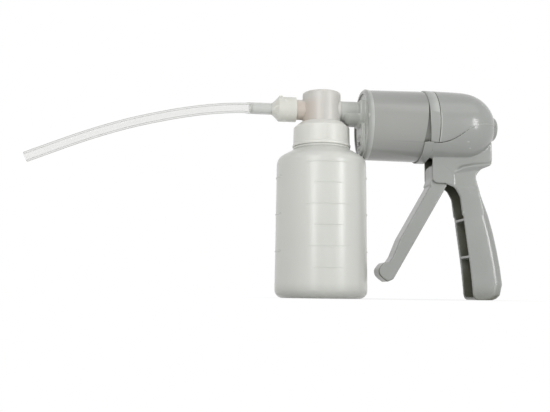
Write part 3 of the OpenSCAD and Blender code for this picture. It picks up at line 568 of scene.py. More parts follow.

# Plastics and rubbers: linear colours, noise scales, and roughness from low to high; the edge colours are
# painted highlights on outer edges and the crease colours painted shade in creases
looks = {
    "greyPlastic": {
        "dark": (0.268, 0.276, 0.262), "light": (0.282, 0.29, 0.276), "edge": (0.37, 0.38, 0.362),
        "creaseShade": (0.18, 0.185, 0.165), "grain": 2600, "drift": 30, "rough": (0.17, 0.22), "bump": 0.05,
        # painted shade: a dark tint laid into deep channels, gaps and recesses where ambient occlusion finds
        # them
        "hollow": (0.10, 0.103, 0.076), "hollowReach": 28 * mm, "hollowOpen": (0.68, 0.35),
    },
    "barrelPlastic": {
        "dark": (0.232, 0.238, 0.225), "light": (0.244, 0.25, 0.237), "edge": (0.28, 0.286, 0.27),
        "creaseShade": (0.13, 0.133, 0.118), "grain": 1800, "drift": 22, "rough": (0.17, 0.22), "bump": 0.04,
        "coat": 0.1,
    },
    # painted highlight: the front ring is a paler copy of the barrel's plastic, with a brighter edge
    "ringHighlightPlastic": {
        "dark": (0.30, 0.308, 0.292), "light": (0.315, 0.323, 0.307), "edge": (0.42, 0.428, 0.41),
        "creaseShade": (0.22, 0.225, 0.21), "grain": 2400, "drift": 34, "rough": (0.2, 0.22), "bump": 0.05,
    },
    # painted light: the front cover, its nozzle and the exhaust grille are painted paler than the other
    # greys, to lift their shaded parts
    "coverLitPlastic": {
        "dark": (0.43, 0.442, 0.415), "light": (0.45, 0.462, 0.435), "edge": (0.52, 0.53, 0.505),
        "creaseShade": (0.33, 0.34, 0.315), "grain": 2400, "drift": 34, "rough": (0.26, 0.32), "bump": 0.05,
    },
    "collarPlastic": {
        "dark": (0.60, 0.60, 0.565), "light": (0.63, 0.63, 0.595), "edge": (0.70, 0.70, 0.67),
        "creaseShade": (0.52, 0.525, 0.49), "grain": 2200, "drift": 45, "rough": (0.34, 0.36), "bump": 0.05,
        "scatter": 0.6, "scatterDepth": 2.5 * mm,
    },
    # the bottle is painted darker towards the bottom, from 12 mm down to 1 mm
    "bottlePlastic": {
        "dark": (0.54, 0.545, 0.512), "light": (0.55, 0.555, 0.522), "edge": (0.565, 0.57, 0.537),
        "creaseShade": (0.535, 0.54, 0.505), "grain": 900, "drift": 26, "rough": (0.275, 0.285), "bump": 0.05,
        "scatter": 0.2, "scatterDepth": 3 * mm, "foot": (0.39, 0.395, 0.37), "footZ": (12 * mm, 1 * mm),
    },
    # milky plastic that the orange sleeve inside warms on its left half
    "headPlastic": {
        "dark": (0.515, 0.505, 0.475), "light": (0.535, 0.525, 0.495), "edge": (0.60, 0.59, 0.56),
        "creaseShade": (0.47, 0.455, 0.425), "grain": 1500, "drift": 60, "rough": (0.3, 0.36), "bump": 0.05,
        "scatter": 0.5, "scatterDepth": 3 * mm, "glow": (0.49, 0.39, 0.315), "glowShare": 0.5,
        "glowX": (2 * mm, -16 * mm), "glowZ": (portZ + 9 * mm, portZ + 2 * mm),
    },
    "adapterPlastic": {
        "dark": (0.575, 0.575, 0.53), "light": (0.61, 0.61, 0.565), "edge": (0.68, 0.68, 0.635),
        "creaseShade": (0.55, 0.56, 0.52), "grain": 1800, "drift": 60, "rough": (0.22, 0.3), "bump": 0.05,
        "scatter": 0.5, "scatterDepth": 2 * mm,
    },
    "whitePlastic": {
        "dark": (0.72, 0.72, 0.70), "light": (0.78, 0.78, 0.76), "edge": (0.82, 0.82, 0.80),
        "creaseShade": (0.6, 0.6, 0.58), "grain": 2000, "drift": 50, "rough": (0.35, 0.45), "bump": 0.08,
    },
    "sleevePlastic": {
        "dark": (0.62, 0.22, 0.10), "light": (0.72, 0.30, 0.15), "edge": (0.78, 0.36, 0.20),
        "creaseShade": (0.45, 0.15, 0.07), "grain": 2000, "drift": 60, "rough": (0.3, 0.4), "bump": 0.05,
    },
    "darkRubber": {
        "dark": (0.018, 0.019, 0.018), "light": (0.03, 0.031, 0.03), "edge": (0.06, 0.06, 0.06),
        "creaseShade": (0.01, 0.01, 0.01), "grain": 1500, "drift": 90, "rough": (0.55, 0.7), "bump": 0.2,
    },
    "flapRubber": {
        "dark": (0.50, 0.14, 0.06), "light": (0.60, 0.20, 0.09), "edge": (0.66, 0.26, 0.14),
        "creaseShade": (0.35, 0.1, 0.05), "grain": 1500, "drift": 90, "rough": (0.5, 0.62), "bump": 0.15,
    },
    "gasketRubber": {
        "dark": (0.42, 0.43, 0.41), "light": (0.48, 0.49, 0.47), "edge": (0.55, 0.56, 0.54),
        "creaseShade": (0.35, 0.36, 0.34), "grain": 1500, "drift": 80, "rough": (0.5, 0.62), "bump": 0.15,
    },
}


def mouldedPlastic(name, look):
    # grain, slow tone drift, outer edges painted paler as a highlight and creases painted darker as shade
    material, tree, shader = blankMaterial(name)
    grain = addNode(tree, "ShaderNodeGroup", {"node_tree": mouldGrain}, Grain=look["grain"],
                    Drift=look["drift"], Rough_Low=look["rough"][0], Rough_High=look["rough"][1]).outputs
    edgeLightAndShade = addNode(tree, "ShaderNodeGroup", {"node_tree": edgeHighlightCreaseShade}).outputs
    base = mixTint(tree, grain["Tone"], look["dark"], look["light"])
    # painted highlight on outer edges, and painted shade in creases
    base = mixTint(tree, edgeLightAndShade["Edge"], base, look["edge"])
    base = mixTint(tree, edgeLightAndShade["Crease"], base, look["creaseShade"])
    if "hollow" in look:
        # painted shade: deep channels, gaps and recesses are darkened where ambient occlusion finds them
        around = addNode(tree, "ShaderNodeAmbientOcclusion", {"samples": 8}, Distance=look["hollowReach"])
        deep = spread(tree, around.outputs["AO"], *look["hollowOpen"], soft=True)
        base = mixTint(tree, deep, base, look["hollow"])
    if "foot" in look:
        height = axesOf(tree, objectPlace(tree))["Z"]
        base = mixTint(tree, spread(tree, height, *look["footZ"], soft=True), base, look["foot"])
    if "glow" in look:
        axes = axesOf(tree, objectPlace(tree))
        left = spread(tree, axes["X"], *look["glowX"], soft=True)
        low = spread(tree, axes["Z"], *look["glowZ"], soft=True)
        warm = maths(tree, "MULTIPLY", maths(tree, "MULTIPLY", left, low), look["glowShare"])
        base = mixTint(tree, warm, base, look["glow"])
    setInputs(tree, shader, Base_Color=base, Roughness=grain["Roughness"], IOR=1.5,
              Coat_Weight=look.get("coat", 0), Coat_Roughness=0.15,
              Normal=bumpFrom(tree, grain["Height"], look["bump"], 0.05 * mm))
    if "scatter" in look:
        setInputs(tree, shader, Subsurface_Weight=look["scatter"], Subsurface_Radius=(1, 0.95, 0.9),
                  Subsurface_Scale=look["scatterDepth"])
    return material


finish = {name: mouldedPlastic(name, look) for name, look in looks.items()}

steelLook = {
    "dark": (0.46, 0.46, 0.45), "light": (0.62, 0.62, 0.61), "rough": (0.22, 0.4),
    "lines": 900, "bump": 0.1, "bumpDepth": 0.02 * mm,
}


def brushedSteel(name, look, scale):
    # drawn metal with fine lines along one axis
    material, tree, shader = blankMaterial(name)
    lines = noise(tree, stretchedPlace(tree, scale), look["lines"], 2)
    setInputs(tree, shader, Base_Color=mixTint(tree, lines, look["dark"], look["light"]), Metallic=1,
              Roughness=spread(tree, lines, 0, 1, *look["rough"]),
              Normal=bumpFrom(tree, lines, look["bump"], look["bumpDepth"]))
    return material


finish["steelAlongX"] = brushedSteel("steelAlongX", steelLook, (0.04, 1, 1))
finish["steelAlongY"] = brushedSteel("steelAlongY", steelLook, (1, 0.04, 1))

tubeLook = {
    "dark": (0.29, 0.305, 0.255), "light": (0.34, 0.355, 0.30), "rough": (0.08, 0.2),
    "streaks": 900, "slantFrom": 0.3, "dense": (0.07, 0.9),
    "stretched": (0.65, 0.665, 0.64), "stretchedX": (tubeX - 19 * mm, tubeX - 13 * mm), "veil": 0.6,
}


def tubePlastic(look):
    # clear soft tube that shows mostly at its edges, with faint streaks along it
    material, tree, shader = blankMaterial("tubePlastic")
    streaks = noise(tree, stretchedPlace(tree, (0.1, 1, 1)), look["streaks"], 3)
    base = mixTint(tree, streaks, look["dark"], look["light"])
    slant = addNode(tree, "ShaderNodeLayerWeight", Blend=0.5).outputs["Facing"]
    thick = spread(tree, slant, look["slantFrom"], 1, *look["dense"], soft=True)
    # it looks denser and paler where it is stretched over the barbs
    stretched = spread(tree, axesOf(tree, objectPlace(tree))["X"], *look["stretchedX"], soft=True)
    base = mixTint(tree, stretched, base, look["stretched"])
    dense = maths(tree, "MAXIMUM", thick, maths(tree, "MULTIPLY", stretched, look["veil"]))
    setInputs(tree, shader, Base_Color=base, Alpha=dense, IOR=1.45,
              Roughness=spread(tree, streaks, 0, 1, *look["rough"]))
    return material


finish["tubePlastic"] = tubePlastic(tubeLook)
say("finishes made")

# Catheter tube: its route's points are X from its end on the adapter, and height above the port
tubeShape = {
    "outer": 3.8 * mm, "inner": 2.7 * mm, "edge": 0.25 * mm, "sides": 32,
    "swell": 0.6 * mm, "barbInner": 3.4 * mm, "barb": 16 * mm, "blend": 5 * mm,
    "route": [
        (0, 0), (-8, 0), (-16, 0), (-25, -0.1), (-34, -0.7), (-43, -1.6), (-52, -2.8), (-61, -4.3),
        (-70, -6), (-79, -8), (-88, -10.1), (-97, -12.4), (-106, -14.9), (-115, -17.7),
        (-124, -20.7), (-133, -23.9), (-142, -27.3), (-151, -30.9), (-160, -34.6), (-169, -38.3),
        (-178, -42),
    ],  # in mm
}


def makeTube(shape):
    line = smoothLine([(tubeX + x * mm, portZ + z * mm) for x, z in shape["route"]], 4)
    walls = ((shape["outer"], shape["swell"]), (shape["inner"], shape["barbInner"] - shape["inner"]))
    sides = shape["sides"]
    verts, rings, faces = [], [], []
    for radius, swell in walls:
        for i, point in enumerate(line):
            ahead = line[min(i + 1, len(line) - 1)] - line[max(i - 1, 0)]
            across = Vector((-ahead[1], ahead[0])).normalized()
            wide = radius + swell * (1 - ease((tubeX - point[0] - shape["barb"]) / shape["blend"]))
            rings.append(range(len(verts), len(verts) + sides))
            for j in range(sides):
                a = 2 * math.pi * j / sides
                off = wide * math.cos(a)
                verts.append((point[0] + across[0] * off, wide * math.sin(a), point[1] + across[1] * off))
    half = len(line)
    order = rings[:half] + rings[half:][::-1]
    for i, ring in enumerate(order):
        other = order[(i + 1) % len(order)]
        for j in range(sides):
            k = (j + 1) % sides
            faces.append((ring[j], other[j], other[k], ring[k]))
    tube = newPiece("catheterTube", verts, faces)
    bevel(tube, shape["edge"], 2, 50)
    dress(tube, "tubePlastic", "catheter", "catheter_tube")
    path = [(x, 0, z) for x, z in line]
    length = sum((Vector(a) - Vector(b)).length for a, b in zip(path, path[1:]))
    say(f"catheter tube {length / mm:.1f} mm long")


makeTube(tubeShape)

# Adapter: socket, cone and barbs, with a lug on top
adapterShape = {
    "socket": 7.65 * mm, "socketDepth": 7.6 * mm, "outer": 9.35 * mm, "body": 13.2 * mm,
    "cone": 4.6 * mm, "coneBend": (1.6 * mm, 2.9 * mm), "stem": 4.65 * mm, "bore": 1.9 * mm,
    "barb": 3.3 * mm, "barbs": 3, "barbStart": 2 * mm, "barbPitch": 4 * mm, "barbLength": 3.4 * mm,
    "barbTip": 0.3 * mm, "barbDepth": 0.5 * mm, "lugWidth": 4 * mm, "lugHeight": 0.9 * mm,
}


def makeAdapter(shape):
    front, end = adapterHigh[0], adapterLow[0]
    socket, outer, stem, barb = (shape[key] for key in ("socket", "outer", "stem", "barb"))
    back, depth = front - shape["body"], front - shape["socketDepth"]
    root = barb - shape["barbDepth"]
    bendOut, bendBack = shape["coneBend"]
    profile = [
        (socket, front, 0.2 * mm), (outer, front, 0.7 * mm), (outer, back, 1.2 * mm),
        (stem + bendOut, back - bendBack, 2 * mm), (stem, back - shape["cone"], 0.6 * mm),
        (stem, tubeX, 0.3 * mm), (root, tubeX),
    ]
    for i in range(shape["barbs"]):
        at = tubeX - shape["barbStart"] - i * shape["barbPitch"]
        profile += [(root, at), (barb, at - shape["barbTip"]), (root, at - shape["barbLength"])]
    profile += [
        (root, end + 0.6 * mm), (root - 0.5 * mm, end), (shape["bore"], end), (shape["bore"], depth),
        (socket, depth),
    ]
    adapter = lathe("catheterAdapter", rounded(profile), "X", portLine, 96)
    top = portZ + outer
    lug = prism("lug", rounded([
        (back + 3 * mm, top - 1 * mm), (back + 0.1 * mm, top - 1.6 * mm),
        (back + 0.1 * mm, top + shape["lugHeight"], 0.6 * mm),
        (back + 2.9 * mm, top + shape["lugHeight"] - 0.1 * mm, 0.8 * mm),
    ]), shape["lugWidth"] / 2)
    bevel(lug, 0.4 * mm)
    combine(adapter, "UNION", lug)
    keepFlats(adapter)
    dress(adapter, "adapterPlastic", "catheter", "catheter_adapter")


makeAdapter(adapterShape)
say("catheter made")

# Threads of the canister and the collar, which share their pitch
threadShape = {"turns": 1.5, "rise": 6 * mm, "onNeck": 1.6 * mm, "inCollar": 3.6 * mm}
helix = helixTree()


def makeThread(name, radius, wire, foot, look, body, node):
    thread = treePiece(name, helix, turns=threadShape["turns"], radius=radius, rise=threadShape["rise"],
                       wire=wire, place=(0, 0, foot), turn=(0, 0, 0), finish=finish[look])
    dress(thread, look, body, node)


# Canister: one blown wall from the dished base to the neck
bottleShape = {
    "wall": 1.2 * mm, "baseRound": 6 * mm, "side": 98.5 * mm, "shoulderRound": 8 * mm, "draft": 0.7 * mm,
    "slope": 30, "neck": 17.4 * mm, "bore": 15.9 * mm, "sides": 160, "pushUp": 3 * mm, "standing": 1.5 * mm,
    "dish": [(0, 0), (0.35, 0.03), (0.6, 0.14), (0.78, 0.4), (0.88, 0.75), (0.94, 0.94), (1, 1)],
    "bead": 1.1 * mm, "beadOut": 2.9 * mm, "beadLift": 0.55 * mm,
    "thread": 0.85 * mm, "threadOut": 0.3 * mm,
}


def bottleWall(shape, inset):
    # from the base to the shoulder, and the height at which the slope meets the neck
    foot = bottleRadius - shape["baseRound"]
    turn = bottleRadius - shape["draft"] - shape["shoulderRound"]
    slope = math.radians(shape["slope"])
    points = arc(foot, shape["baseRound"], shape["baseRound"] - inset, -90, 0, 10)
    points += arc(turn, shape["side"], shape["shoulderRound"] - inset, 0, 90 - shape["slope"], 12)
    endRadius = turn + shape["shoulderRound"] * math.sin(slope)
    endZ = shape["side"] + shape["shoulderRound"] * math.cos(slope)
    return points, endZ + (endRadius - shape["neck"]) * math.tan(slope)


def makeBottle(shape):
    outer, rootZ = bottleWall(shape, 0)
    inner, _ = bottleWall(shape, shape["wall"])
    neck, bore = shape["neck"], shape["bore"]
    reach = bottleRadius - shape["baseRound"] - shape["standing"]
    base = [(reach * share, shape["pushUp"] * (1 - drop)) for share, drop in shape["dish"]]
    profile = base + outer
    profile += rounded([
        (neck + 3 * mm, rootZ - 1.73 * mm), (neck, rootZ, 1.6 * mm), (neck, bottleTop - 3 * mm),
    ])[:-1]
    profile += rounded([
        (neck, rootZ + 3 * mm), (neck, bottleTop, 0.5 * mm), (bore, bottleTop, 0.5 * mm), (bore, rootZ),
    ])[1:-1]
    profile += [(bore, rootZ - 0.3 * mm), (bore + 0.6 * mm, rootZ - 1 * mm)]
    profile += inner[::-1]
    profile += [(r, z + shape["wall"]) for r, z in base[::-1]]
    bottle = lathe("canisterBottle", profile, sides=shape["sides"])
    dress(bottle, "bottlePlastic", "bottle", "canister")
    return rootZ


rootZ = makeBottle(bottleShape)


def makeNeckTrim(shape):
    # a bead round the foot of the neck, right under the collar, and the thread above it
    out = shape["beadOut"]
    beadZ = rootZ - out * math.tan(math.radians(shape["slope"])) + shape["beadLift"]
    ring = arc(shape["neck"] + out, beadZ, shape["bead"], 0, 360, 24)[:-1]
    bead = lathe("neckBead", ring)
    dress(bead, "bottlePlastic", "bottle", "canister")
    makeThread("canisterThread", shape["neck"] + shape["threadOut"], shape["thread"],
               rootZ + threadShape["onNeck"], "bottlePlastic", "bottle", "canister")


makeNeckTrim(bottleShape)

# Marks: every other one on the near side is long, and the left and right sides have thicker ones
markShape = {
    "first": 21.7 * mm, "step": 15 * mm, "rungs": 3, "halfShort": 18, "halfLong": 28, "bar": 0.3 * mm,
    "sideMarks": (0.345, 0.9), "halfSide": 20, "sideBar": 0.6 * mm, "sunk": 0.1 * mm,
}
ladder = markTree()


def sideRadius(z):
    # the canister's radius at a height, a little inside its wall
    foot = bottleShape["baseRound"]
    drop = (z - foot) / (bottleShape["side"] - foot)
    return bottleRadius - bottleShape["draft"] * drop - markShape["sunk"]


def makeRungs(name, turn, half, first, step, bar):
    radius = sideRadius(first)
    marks = treePiece(name, ladder, radius=radius, start=math.radians(turn - half),
                      sweep=math.radians(2 * half), first=first, step=step, bar=bar,
                      count=markShape["rungs"], taper=1 - sideRadius(first + step) / radius,
                      finish=finish["bottlePlastic"])
    dress(marks, "bottlePlastic", "bottle", "canister")


def makeMarks(shape):
    first, step = shape["first"], shape["step"]
    makeRungs("marksShort", -90, shape["halfShort"], first, 2 * step, shape["bar"])
    makeRungs("marksLong", -90, shape["halfLong"], first + step, 2 * step, shape["bar"])
    low, high = (share * bottleShape["side"] for share in shape["sideMarks"])
    for name, side in (("sideMarksLeft", 180), ("sideMarksRight", 0)):
        makeRungs(name, side, shape["halfSide"], low, (high - low) / 2, shape["sideBar"])


makeMarks(markShape)
say("canister made")

# Collar: white ring nut with a bead round its lower edge
collarShape = {
    "bore": 19 * mm, "outer": 21.2 * mm, "draft": 0.25 * mm, "mouth": 14.7 * mm, "cone": 5 * mm,
    "coneHeight": 4 * mm, "bead": 0.6 * mm, "beadHeight": 1.5 * mm, "beadSlope": 1.1 * mm,
    "thread": 0.7 * mm, "threadIn": 0.35 * mm,
}


def makeCollar(shape):
    low, high = collarLow[2], collarHigh[2]
    bore, outer, mouth, bead = (shape[key] for key in ("bore", "outer", "mouth", "bead"))
    step = high - shape["coneHeight"]
    beadTop = low + shape["beadHeight"]
    collar = lathe("screwCollar", rounded([
        (bore, low, 0.3 * mm), (outer + bead, low, 0.5 * mm), (outer + bead, beadTop, 0.6 * mm),
        (outer, beadTop + shape["beadSlope"], 0.6 * mm), (outer - shape["draft"], step, 1.2 * mm),
        (outer - shape["cone"], high, 0.5 * mm), (mouth, high, 0.3 * mm), (mouth, step),
        (bore, step, 0.3 * mm),
    ]))
    keepFlats(collar)
    dress(collar, "collarPlastic", "collar", "screw_collar")
    makeThread("collarThread", bore - shape["threadIn"], shape["thread"],
               rootZ + threadShape["inCollar"], "collarPlastic", "collar", "screw_collar")


makeCollar(collarShape)

# Valve head: milky T-piece with a stub for the catheter and a socket for the pump
headShape = {
    "radius": 14.4 * mm, "wall": 1.8 * mm, "flange": 18.6 * mm, "flangeThick": 2.4 * mm, "edge": 1.6 * mm,
    "crown": 3.2 * mm, "stub": 7.6 * mm, "stubBore": 5.9 * mm, "socket": 7.65 * mm, "boss": 9.2 * mm,
    "bossX": 5 * mm, "grid": 0.4 * mm, "keep": 0.6,
}


def makeValveHead(shape):
    low, top, left = headLow[2], headHigh[2], headLow[0]
    radius, wall, bossX = shape["radius"], shape["wall"], shape["bossX"]
    rim = low + shape["flangeThick"]
    head = lathe("valveHead", rounded([
        (0, low), (shape["flange"], low), (shape["flange"], rim), (radius, rim, 0.6 * mm),
        (radius, top - 0.15 * mm, shape["edge"]), (radius - shape["crown"], top), (0, top - 0.35 * mm),
    ]))
    combine(head, "DIFFERENCE", roundBar("inside", radius - wall, low - past, top - wall, "Z"))
    stub = lathe("stub", rounded([
        (0, left), (shape["stub"], left, 0.5 * mm), (shape["stub"], -radius + wall / 2),
        (0, -radius + wall / 2),
    ]), "X", portLine, 96)
    boss = roundBar("boss", shape["boss"], bossX, radius - wall / 2, centre=portLine)
    combine(head, "UNION", stub, boss)
    bore = roundBar("bore", shape["stubBore"], left - past, -radius + 2 * wall, centre=portLine)
    socket = roundBar("socket", shape["socket"], bossX - past, radius + past, centre=portLine)
    combine(head, "DIFFERENCE", bore, socket)
    moulded(head, shape["grid"], 3)
    thinned(head, shape["keep"])
    dress(head, "headPlastic", "head", "valve_head")


makeValveHead(headShape)
say("lid made")

# Barrel: its spigot goes into the handle, and beside the upper cover's edge it has two shallow recesses
barrelShape = {
    "front": 26.5 * mm, "back": 27 * mm, "bore": 24 * mm, "spigot": 25.55 * mm, "spigotLength": 7.7 * mm,
    "notchX": 2.4 * mm, "notchHalf": 9.1 * mm, "notchHeight": 5 * mm,
    "recessLow": 15.9 * mm, "recessTop": 13 * mm, "recessWidth": 3.6 * mm, "recessHalf": 30 * mm,
}


def makeBarrel(shape):
    front, back = barrelLow[0], barrelHigh[0]
    shoulder = back - shape["spigotLength"]
    spigot, bore = shape["spigot"], shape["bore"]
    barrel = lathe("pumpBarrel", rounded([
        (bore, front), (shape["front"], front), (shape["back"], shoulder, 0.4 * mm),
        (spigot, shoulder), (spigot, back, 0.4 * mm), (bore, back, 0.3 * mm),
    ]), "X", barrelLine, 160)
    notchZ = axisZ - spigot
    notch = block("notch", (shoulder + shape["notchX"], notchZ - past),
                  (back + past, notchZ + shape["notchHeight"]), shape["notchHalf"])
    low, top = axisZ - shape["recessLow"], axisZ + shape["recessTop"]
    recess = prism("recess", [
        (shoulder + 0.5 * mm, low), (shoulder + 0.5 * mm, top), (shoulder - 0.2 * mm, top),
        (shoulder - shape["recessWidth"], low),
    ], shape["recessHalf"])
    core = roundBar("core", spigot - 0.1 * mm, shoulder - 8 * mm, shoulder + 2 * mm, "X", barrelLine, 160)
    combine(recess, "DIFFERENCE", core)
    combine(barrel, "DIFFERENCE", notch, recess)
    keepFlats(barrel)
    dress(barrel, "barrelPlastic", "pump", "barrel")


makeBarrel(barrelShape)

# Ring round the barrel's front
ringShape = {
    "inner": 25.25 * mm, "foot": 1.6 * mm, "face": 1.4 * mm, "slope": 1.5 * mm, "overlap": 0.15 * mm,
    "seat": 1 * mm,
}


def makeFrontRing(shape):
    low, high, outer = ringLow[0], ringHigh[0], (ringHigh[2] - ringLow[2]) / 2
    inner, lip = shape["inner"], shape["inner"] - shape["foot"]
    ring = lathe("frontRing", rounded([
        (lip, low, 0.4 * mm), (outer - shape["face"], low, 0.5 * mm),
        (outer, low + shape["slope"], 1.1 * mm), (barrelShape["front"] + shape["overlap"], high),
        (inner, high), (inner, low + shape["seat"]), (lip, low + shape["seat"]),
    ]), "X", barrelLine, 160)
    keepFlats(ring)
    # the ring's paler finish is a painted highlight
    dress(ring, "ringHighlightPlastic", "pump", "front_ring")


makeFrontRing(ringShape)

# Front cover: plate with the nozzle, the cradle under it and the ring round the exhaust
coverShape = {
    "plate": 25.2 * mm, "edgeThick": 3.5 * mm, "middleThick": 4 * mm, "rooted": 1 * mm,
    "spigot": 23.95 * mm, "spigotWall": 1.4 * mm,
    "nozzle": 7.6 * mm, "bore": 4.4 * mm, "groove": (2.2 * mm, 4 * mm), "grooveDepth": 1.1 * mm,
    "cradle": 11.6 * mm, "cradleX": 16.5 * mm, "cut": 3.2 * mm, "rim": 3.5 * mm,
    "boss": 13.2 * mm, "bossDepth": 4.4 * mm,
    "exhaustDrop": 14.8 * mm, "exhaust": 6.6 * mm, "exhaustRing": 8.6 * mm, "exhaustOut": 2.4 * mm,
    "wellFloor": 2.2 * mm, "grid": 0.45 * mm, "keep": 0.5,
}
coverFace = ringLow[0] + ringShape["seat"]
exhaustLine = (0, axisZ - coverShape["exhaustDrop"])


def coverForms(shape, root):
    # what stands out of the plate, each rooted in it
    nozzleRadius, bossRadius = shape["nozzle"], shape["boss"]
    nozzle = lathe("nozzle", rounded([
        (0, coverLow[0]), (nozzleRadius, coverLow[0], 0.6 * mm), (nozzleRadius, root), (0, root),
    ]), "X", portLine, 96)
    out = coverFace - shape["exhaustOut"]
    ring = roundBar("exhaustRing", shape["exhaustRing"], out, root, "X", exhaustLine, 64)
    above = block("above", (out, exhaustLine[1]), (root, portZ - nozzleRadius), shape["exhaustRing"])
    cradle = lathe("cradle", [
        (0, shape["cradleX"]), (shape["cradle"] - shape["cut"], shape["cradleX"]),
        (shape["cradle"], shape["cradleX"] + shape["cut"]), (shape["cradle"], root), (0, root),
    ], "X", portLine, 96)
    bossX = coverFace - shape["bossDepth"]
    boss = lathe("boss", rounded([
        (0, bossX), (bossRadius, bossX, 1.5 * mm), (bossRadius, root), (0, root),
    ]), "X", portLine, 96)
    # both are cut off level, the cradle under the nozzle's middle and the boss above it
    for part, top in ((cradle, portZ - shape["rim"]), (boss, portZ + bossRadius / 2)):
        lower = block("lower", (0, portZ - 2 * bossRadius), (root + past, top), 2 * bossRadius)
        combine(part, "INTERSECT", lower)
    return nozzle, ring, above, cradle, boss


def coverCuts(shape):
    # the nozzle's bore, the exhaust's well, and the groove for the nozzle's seal
    left, back = coverLow[0], coverHigh[0]
    bore = roundBar("bore", shape["bore"], left - past, back + past, "X", portLine, 64)
    well = roundBar("well", shape["exhaust"], coverFace - 3 * mm, coverFace + shape["wellFloor"],
                    "X", exhaustLine, 64)
    start, end = (left + place for place in shape["groove"])
    bottom, outside = shape["nozzle"] - shape["grooveDepth"], shape["nozzle"] + past
    groove = lathe("groove", [
        (bottom, start), (outside, start), (outside, end), (bottom, end),
    ], "X", portLine, 96)
    return bore, well, groove


def makeFrontCover(shape):
    face, back = coverFace, coverHigh[0]
    rear, inner = face + shape["edgeThick"], face + shape["middleThick"]
    spigot, bore = shape["spigot"], shape["spigot"] - shape["spigotWall"]
    cover = lathe("frontCover", rounded([
        (0, face), (shape["plate"], face), (shape["plate"], rear), (spigot, rear), (spigot, back),
        (bore, back), (bore, inner), (0, inner),
    ]), "X", barrelLine)
    combine(cover, "UNION", *coverForms(shape, face + shape["rooted"]))
    combine(cover, "DIFFERENCE", *coverCuts(shape))
    moulded(cover, shape["grid"], 3)
    thinned(cover, shape["keep"])
    dress(cover, "coverLitPlastic", "pump", "front_cover")


makeFrontCover(coverShape)

grilleShape = {"rim": 0.6 * mm, "hub": 1.8 * mm, "bar": 1.1 * mm, "spokes": 8}


def makeGrille(shape):
    radius, middle = (guardHigh[2] - guardLow[2]) / 2, (guardHigh[2] + guardLow[2]) / 2
    depth = guardHigh[0] - guardLow[0]
    grille = treePiece("exhaustGrille", grilleTree(), radius=radius - shape["rim"], hub=shape["hub"],
                       depth=depth, bar=shape["bar"], count=shape["spokes"],
                       place=(guardLow[0] + depth / 2, 0, middle), finish=finish["coverLitPlastic"])
    dress(grille, "coverLitPlastic", "pump", "exhaust_guard")


makeGrille(grilleShape)
say("barrel and front made")

# The dome: an upper cover and the handle's own lower shell, parted along a line
domeShape = {
    "shell": 27.3 * mm, "cover": 27.7 * mm, "inside": 25.6 * mm, "straight": 30 * mm, "back": 27.2 * mm,
    "backWall": 1.7 * mm, "draft": 0.5 * mm, "backSteps": 28, "straightSteps": 10,
    # a cover sinks by the fade towards its back, and its front edge leans back near the parting line
    "fade": 0.32 * mm, "fadeFrom": 22 * mm, "fadeLength": 14 * mm,
    "slant": 1.4 * mm, "slantLength": 3 * mm, "slantHeight": 16 * mm,
    "tail": 9.3 * mm, "tailEdge": 2.6 * mm, "tailWall": 1.8 * mm, "tailRise": 1.2 * mm,
    # pairs of a distance along X and one outwards or up, in mm
    "frontEdge": [(0, -0.5), (0.15, -0.15), (0.5, 0)],
    "groove": [(-0.5, 0), (-0.2, -0.06), (-0.12, -0.9), (0.28, -0.9), (0.36, -0.12), (0.8, -0.05)],
    "tailFillet": [(0.45, 0.55), (0.9, 0.12)],
    "parting": [(-6, -15.7), (3, -15.85), (9, -15.8), (14.2, -14.8), (19.4, -12.8), (23.1, -10.5),
                (26.4, -8.2), (28.3, -6.5), (31.5, -4.2), (36, -2.4), (42, -1.1), (50, -0.3), (66, 0)],
    "band": 7.4 * mm,
    # each pair is a size at the front and at the back
    "gap": (0.12 * mm, 0.03 * mm), "lip": (0.6 * mm, 2.6 * mm), "lipDrop": (0.15 * mm, 0.5 * mm),
    "lipFrom": 10 * mm, "lipLength": 9 * mm, "lipEnd": 26 * mm, "lipFade": 8 * mm, "lap": -0.5 * mm,
    "edgeShares": [0, 0.004, 0.008, 0.013, 0.019, 0.026, 0.034], "sides": 64,
}


def pointsNear(x, radius, offsets):
    return [(x + along * mm, radius + out * mm) for along, out in offsets]


def domeProfile(shape, radius, back, tail, tailEnd, band=0, fade=0):
    # (x, radius) from the front edge to the tip of the tail
    bendX = handleX + shape["straight"]

    def wide(x):
        late = ease((x - handleX - shape["fadeFrom"]) / shape["fadeLength"])
        return radius - shape["draft"] * clamp((x - handleX) / shape["straight"]) - fade * late

    line = pointsNear(handleX, radius, shape["frontEdge"])
    if band:
        line += pointsNear(handleX + band, radius, shape["groove"])
    begin = line[-1][0] + 1 * mm
    steps = shape["straightSteps"]
    line += [(x, wide(x)) for x in (between((begin, bendX), i / steps) for i in range(steps))]
    end = math.acos((tail + shape["tailRise"]) / (radius - shape["draft"] - fade))
    for i in range(shape["backSteps"] + 1):
        turn = end * i / shape["backSteps"]
        x = bendX + back * math.sin(turn)
        line.append((x, wide(x) * math.cos(turn)))
    edge = shape["tailEdge"]
    line += pointsNear(line[-1][0], tail, shape["tailFillet"])
    line += arc(tailEnd - edge, tail - edge, edge, 90, 0)
    line += [(tailEnd, (tail - edge) * (1 - i / 4)) for i in range(1, 4)]
    line.append((tailEnd + 0.1 * mm, 0.02 * mm))
    return line


def domeWalls(shape, radius, band=0, fade=0):
    outerBack = shape["back"] + radius - shape["shell"] - fade
    innerBack = shape["back"] - shape["backWall"]
    innerTail, innerEnd = shape["tail"] - shape["tailWall"], domeHigh[0] - shape["tailWall"]
    outer = domeProfile(shape, radius, outerBack, shape["tail"], domeHigh[0], band, fade)
    return outer, domeProfile(shape, shape["inside"], innerBack, innerTail, innerEnd, band)


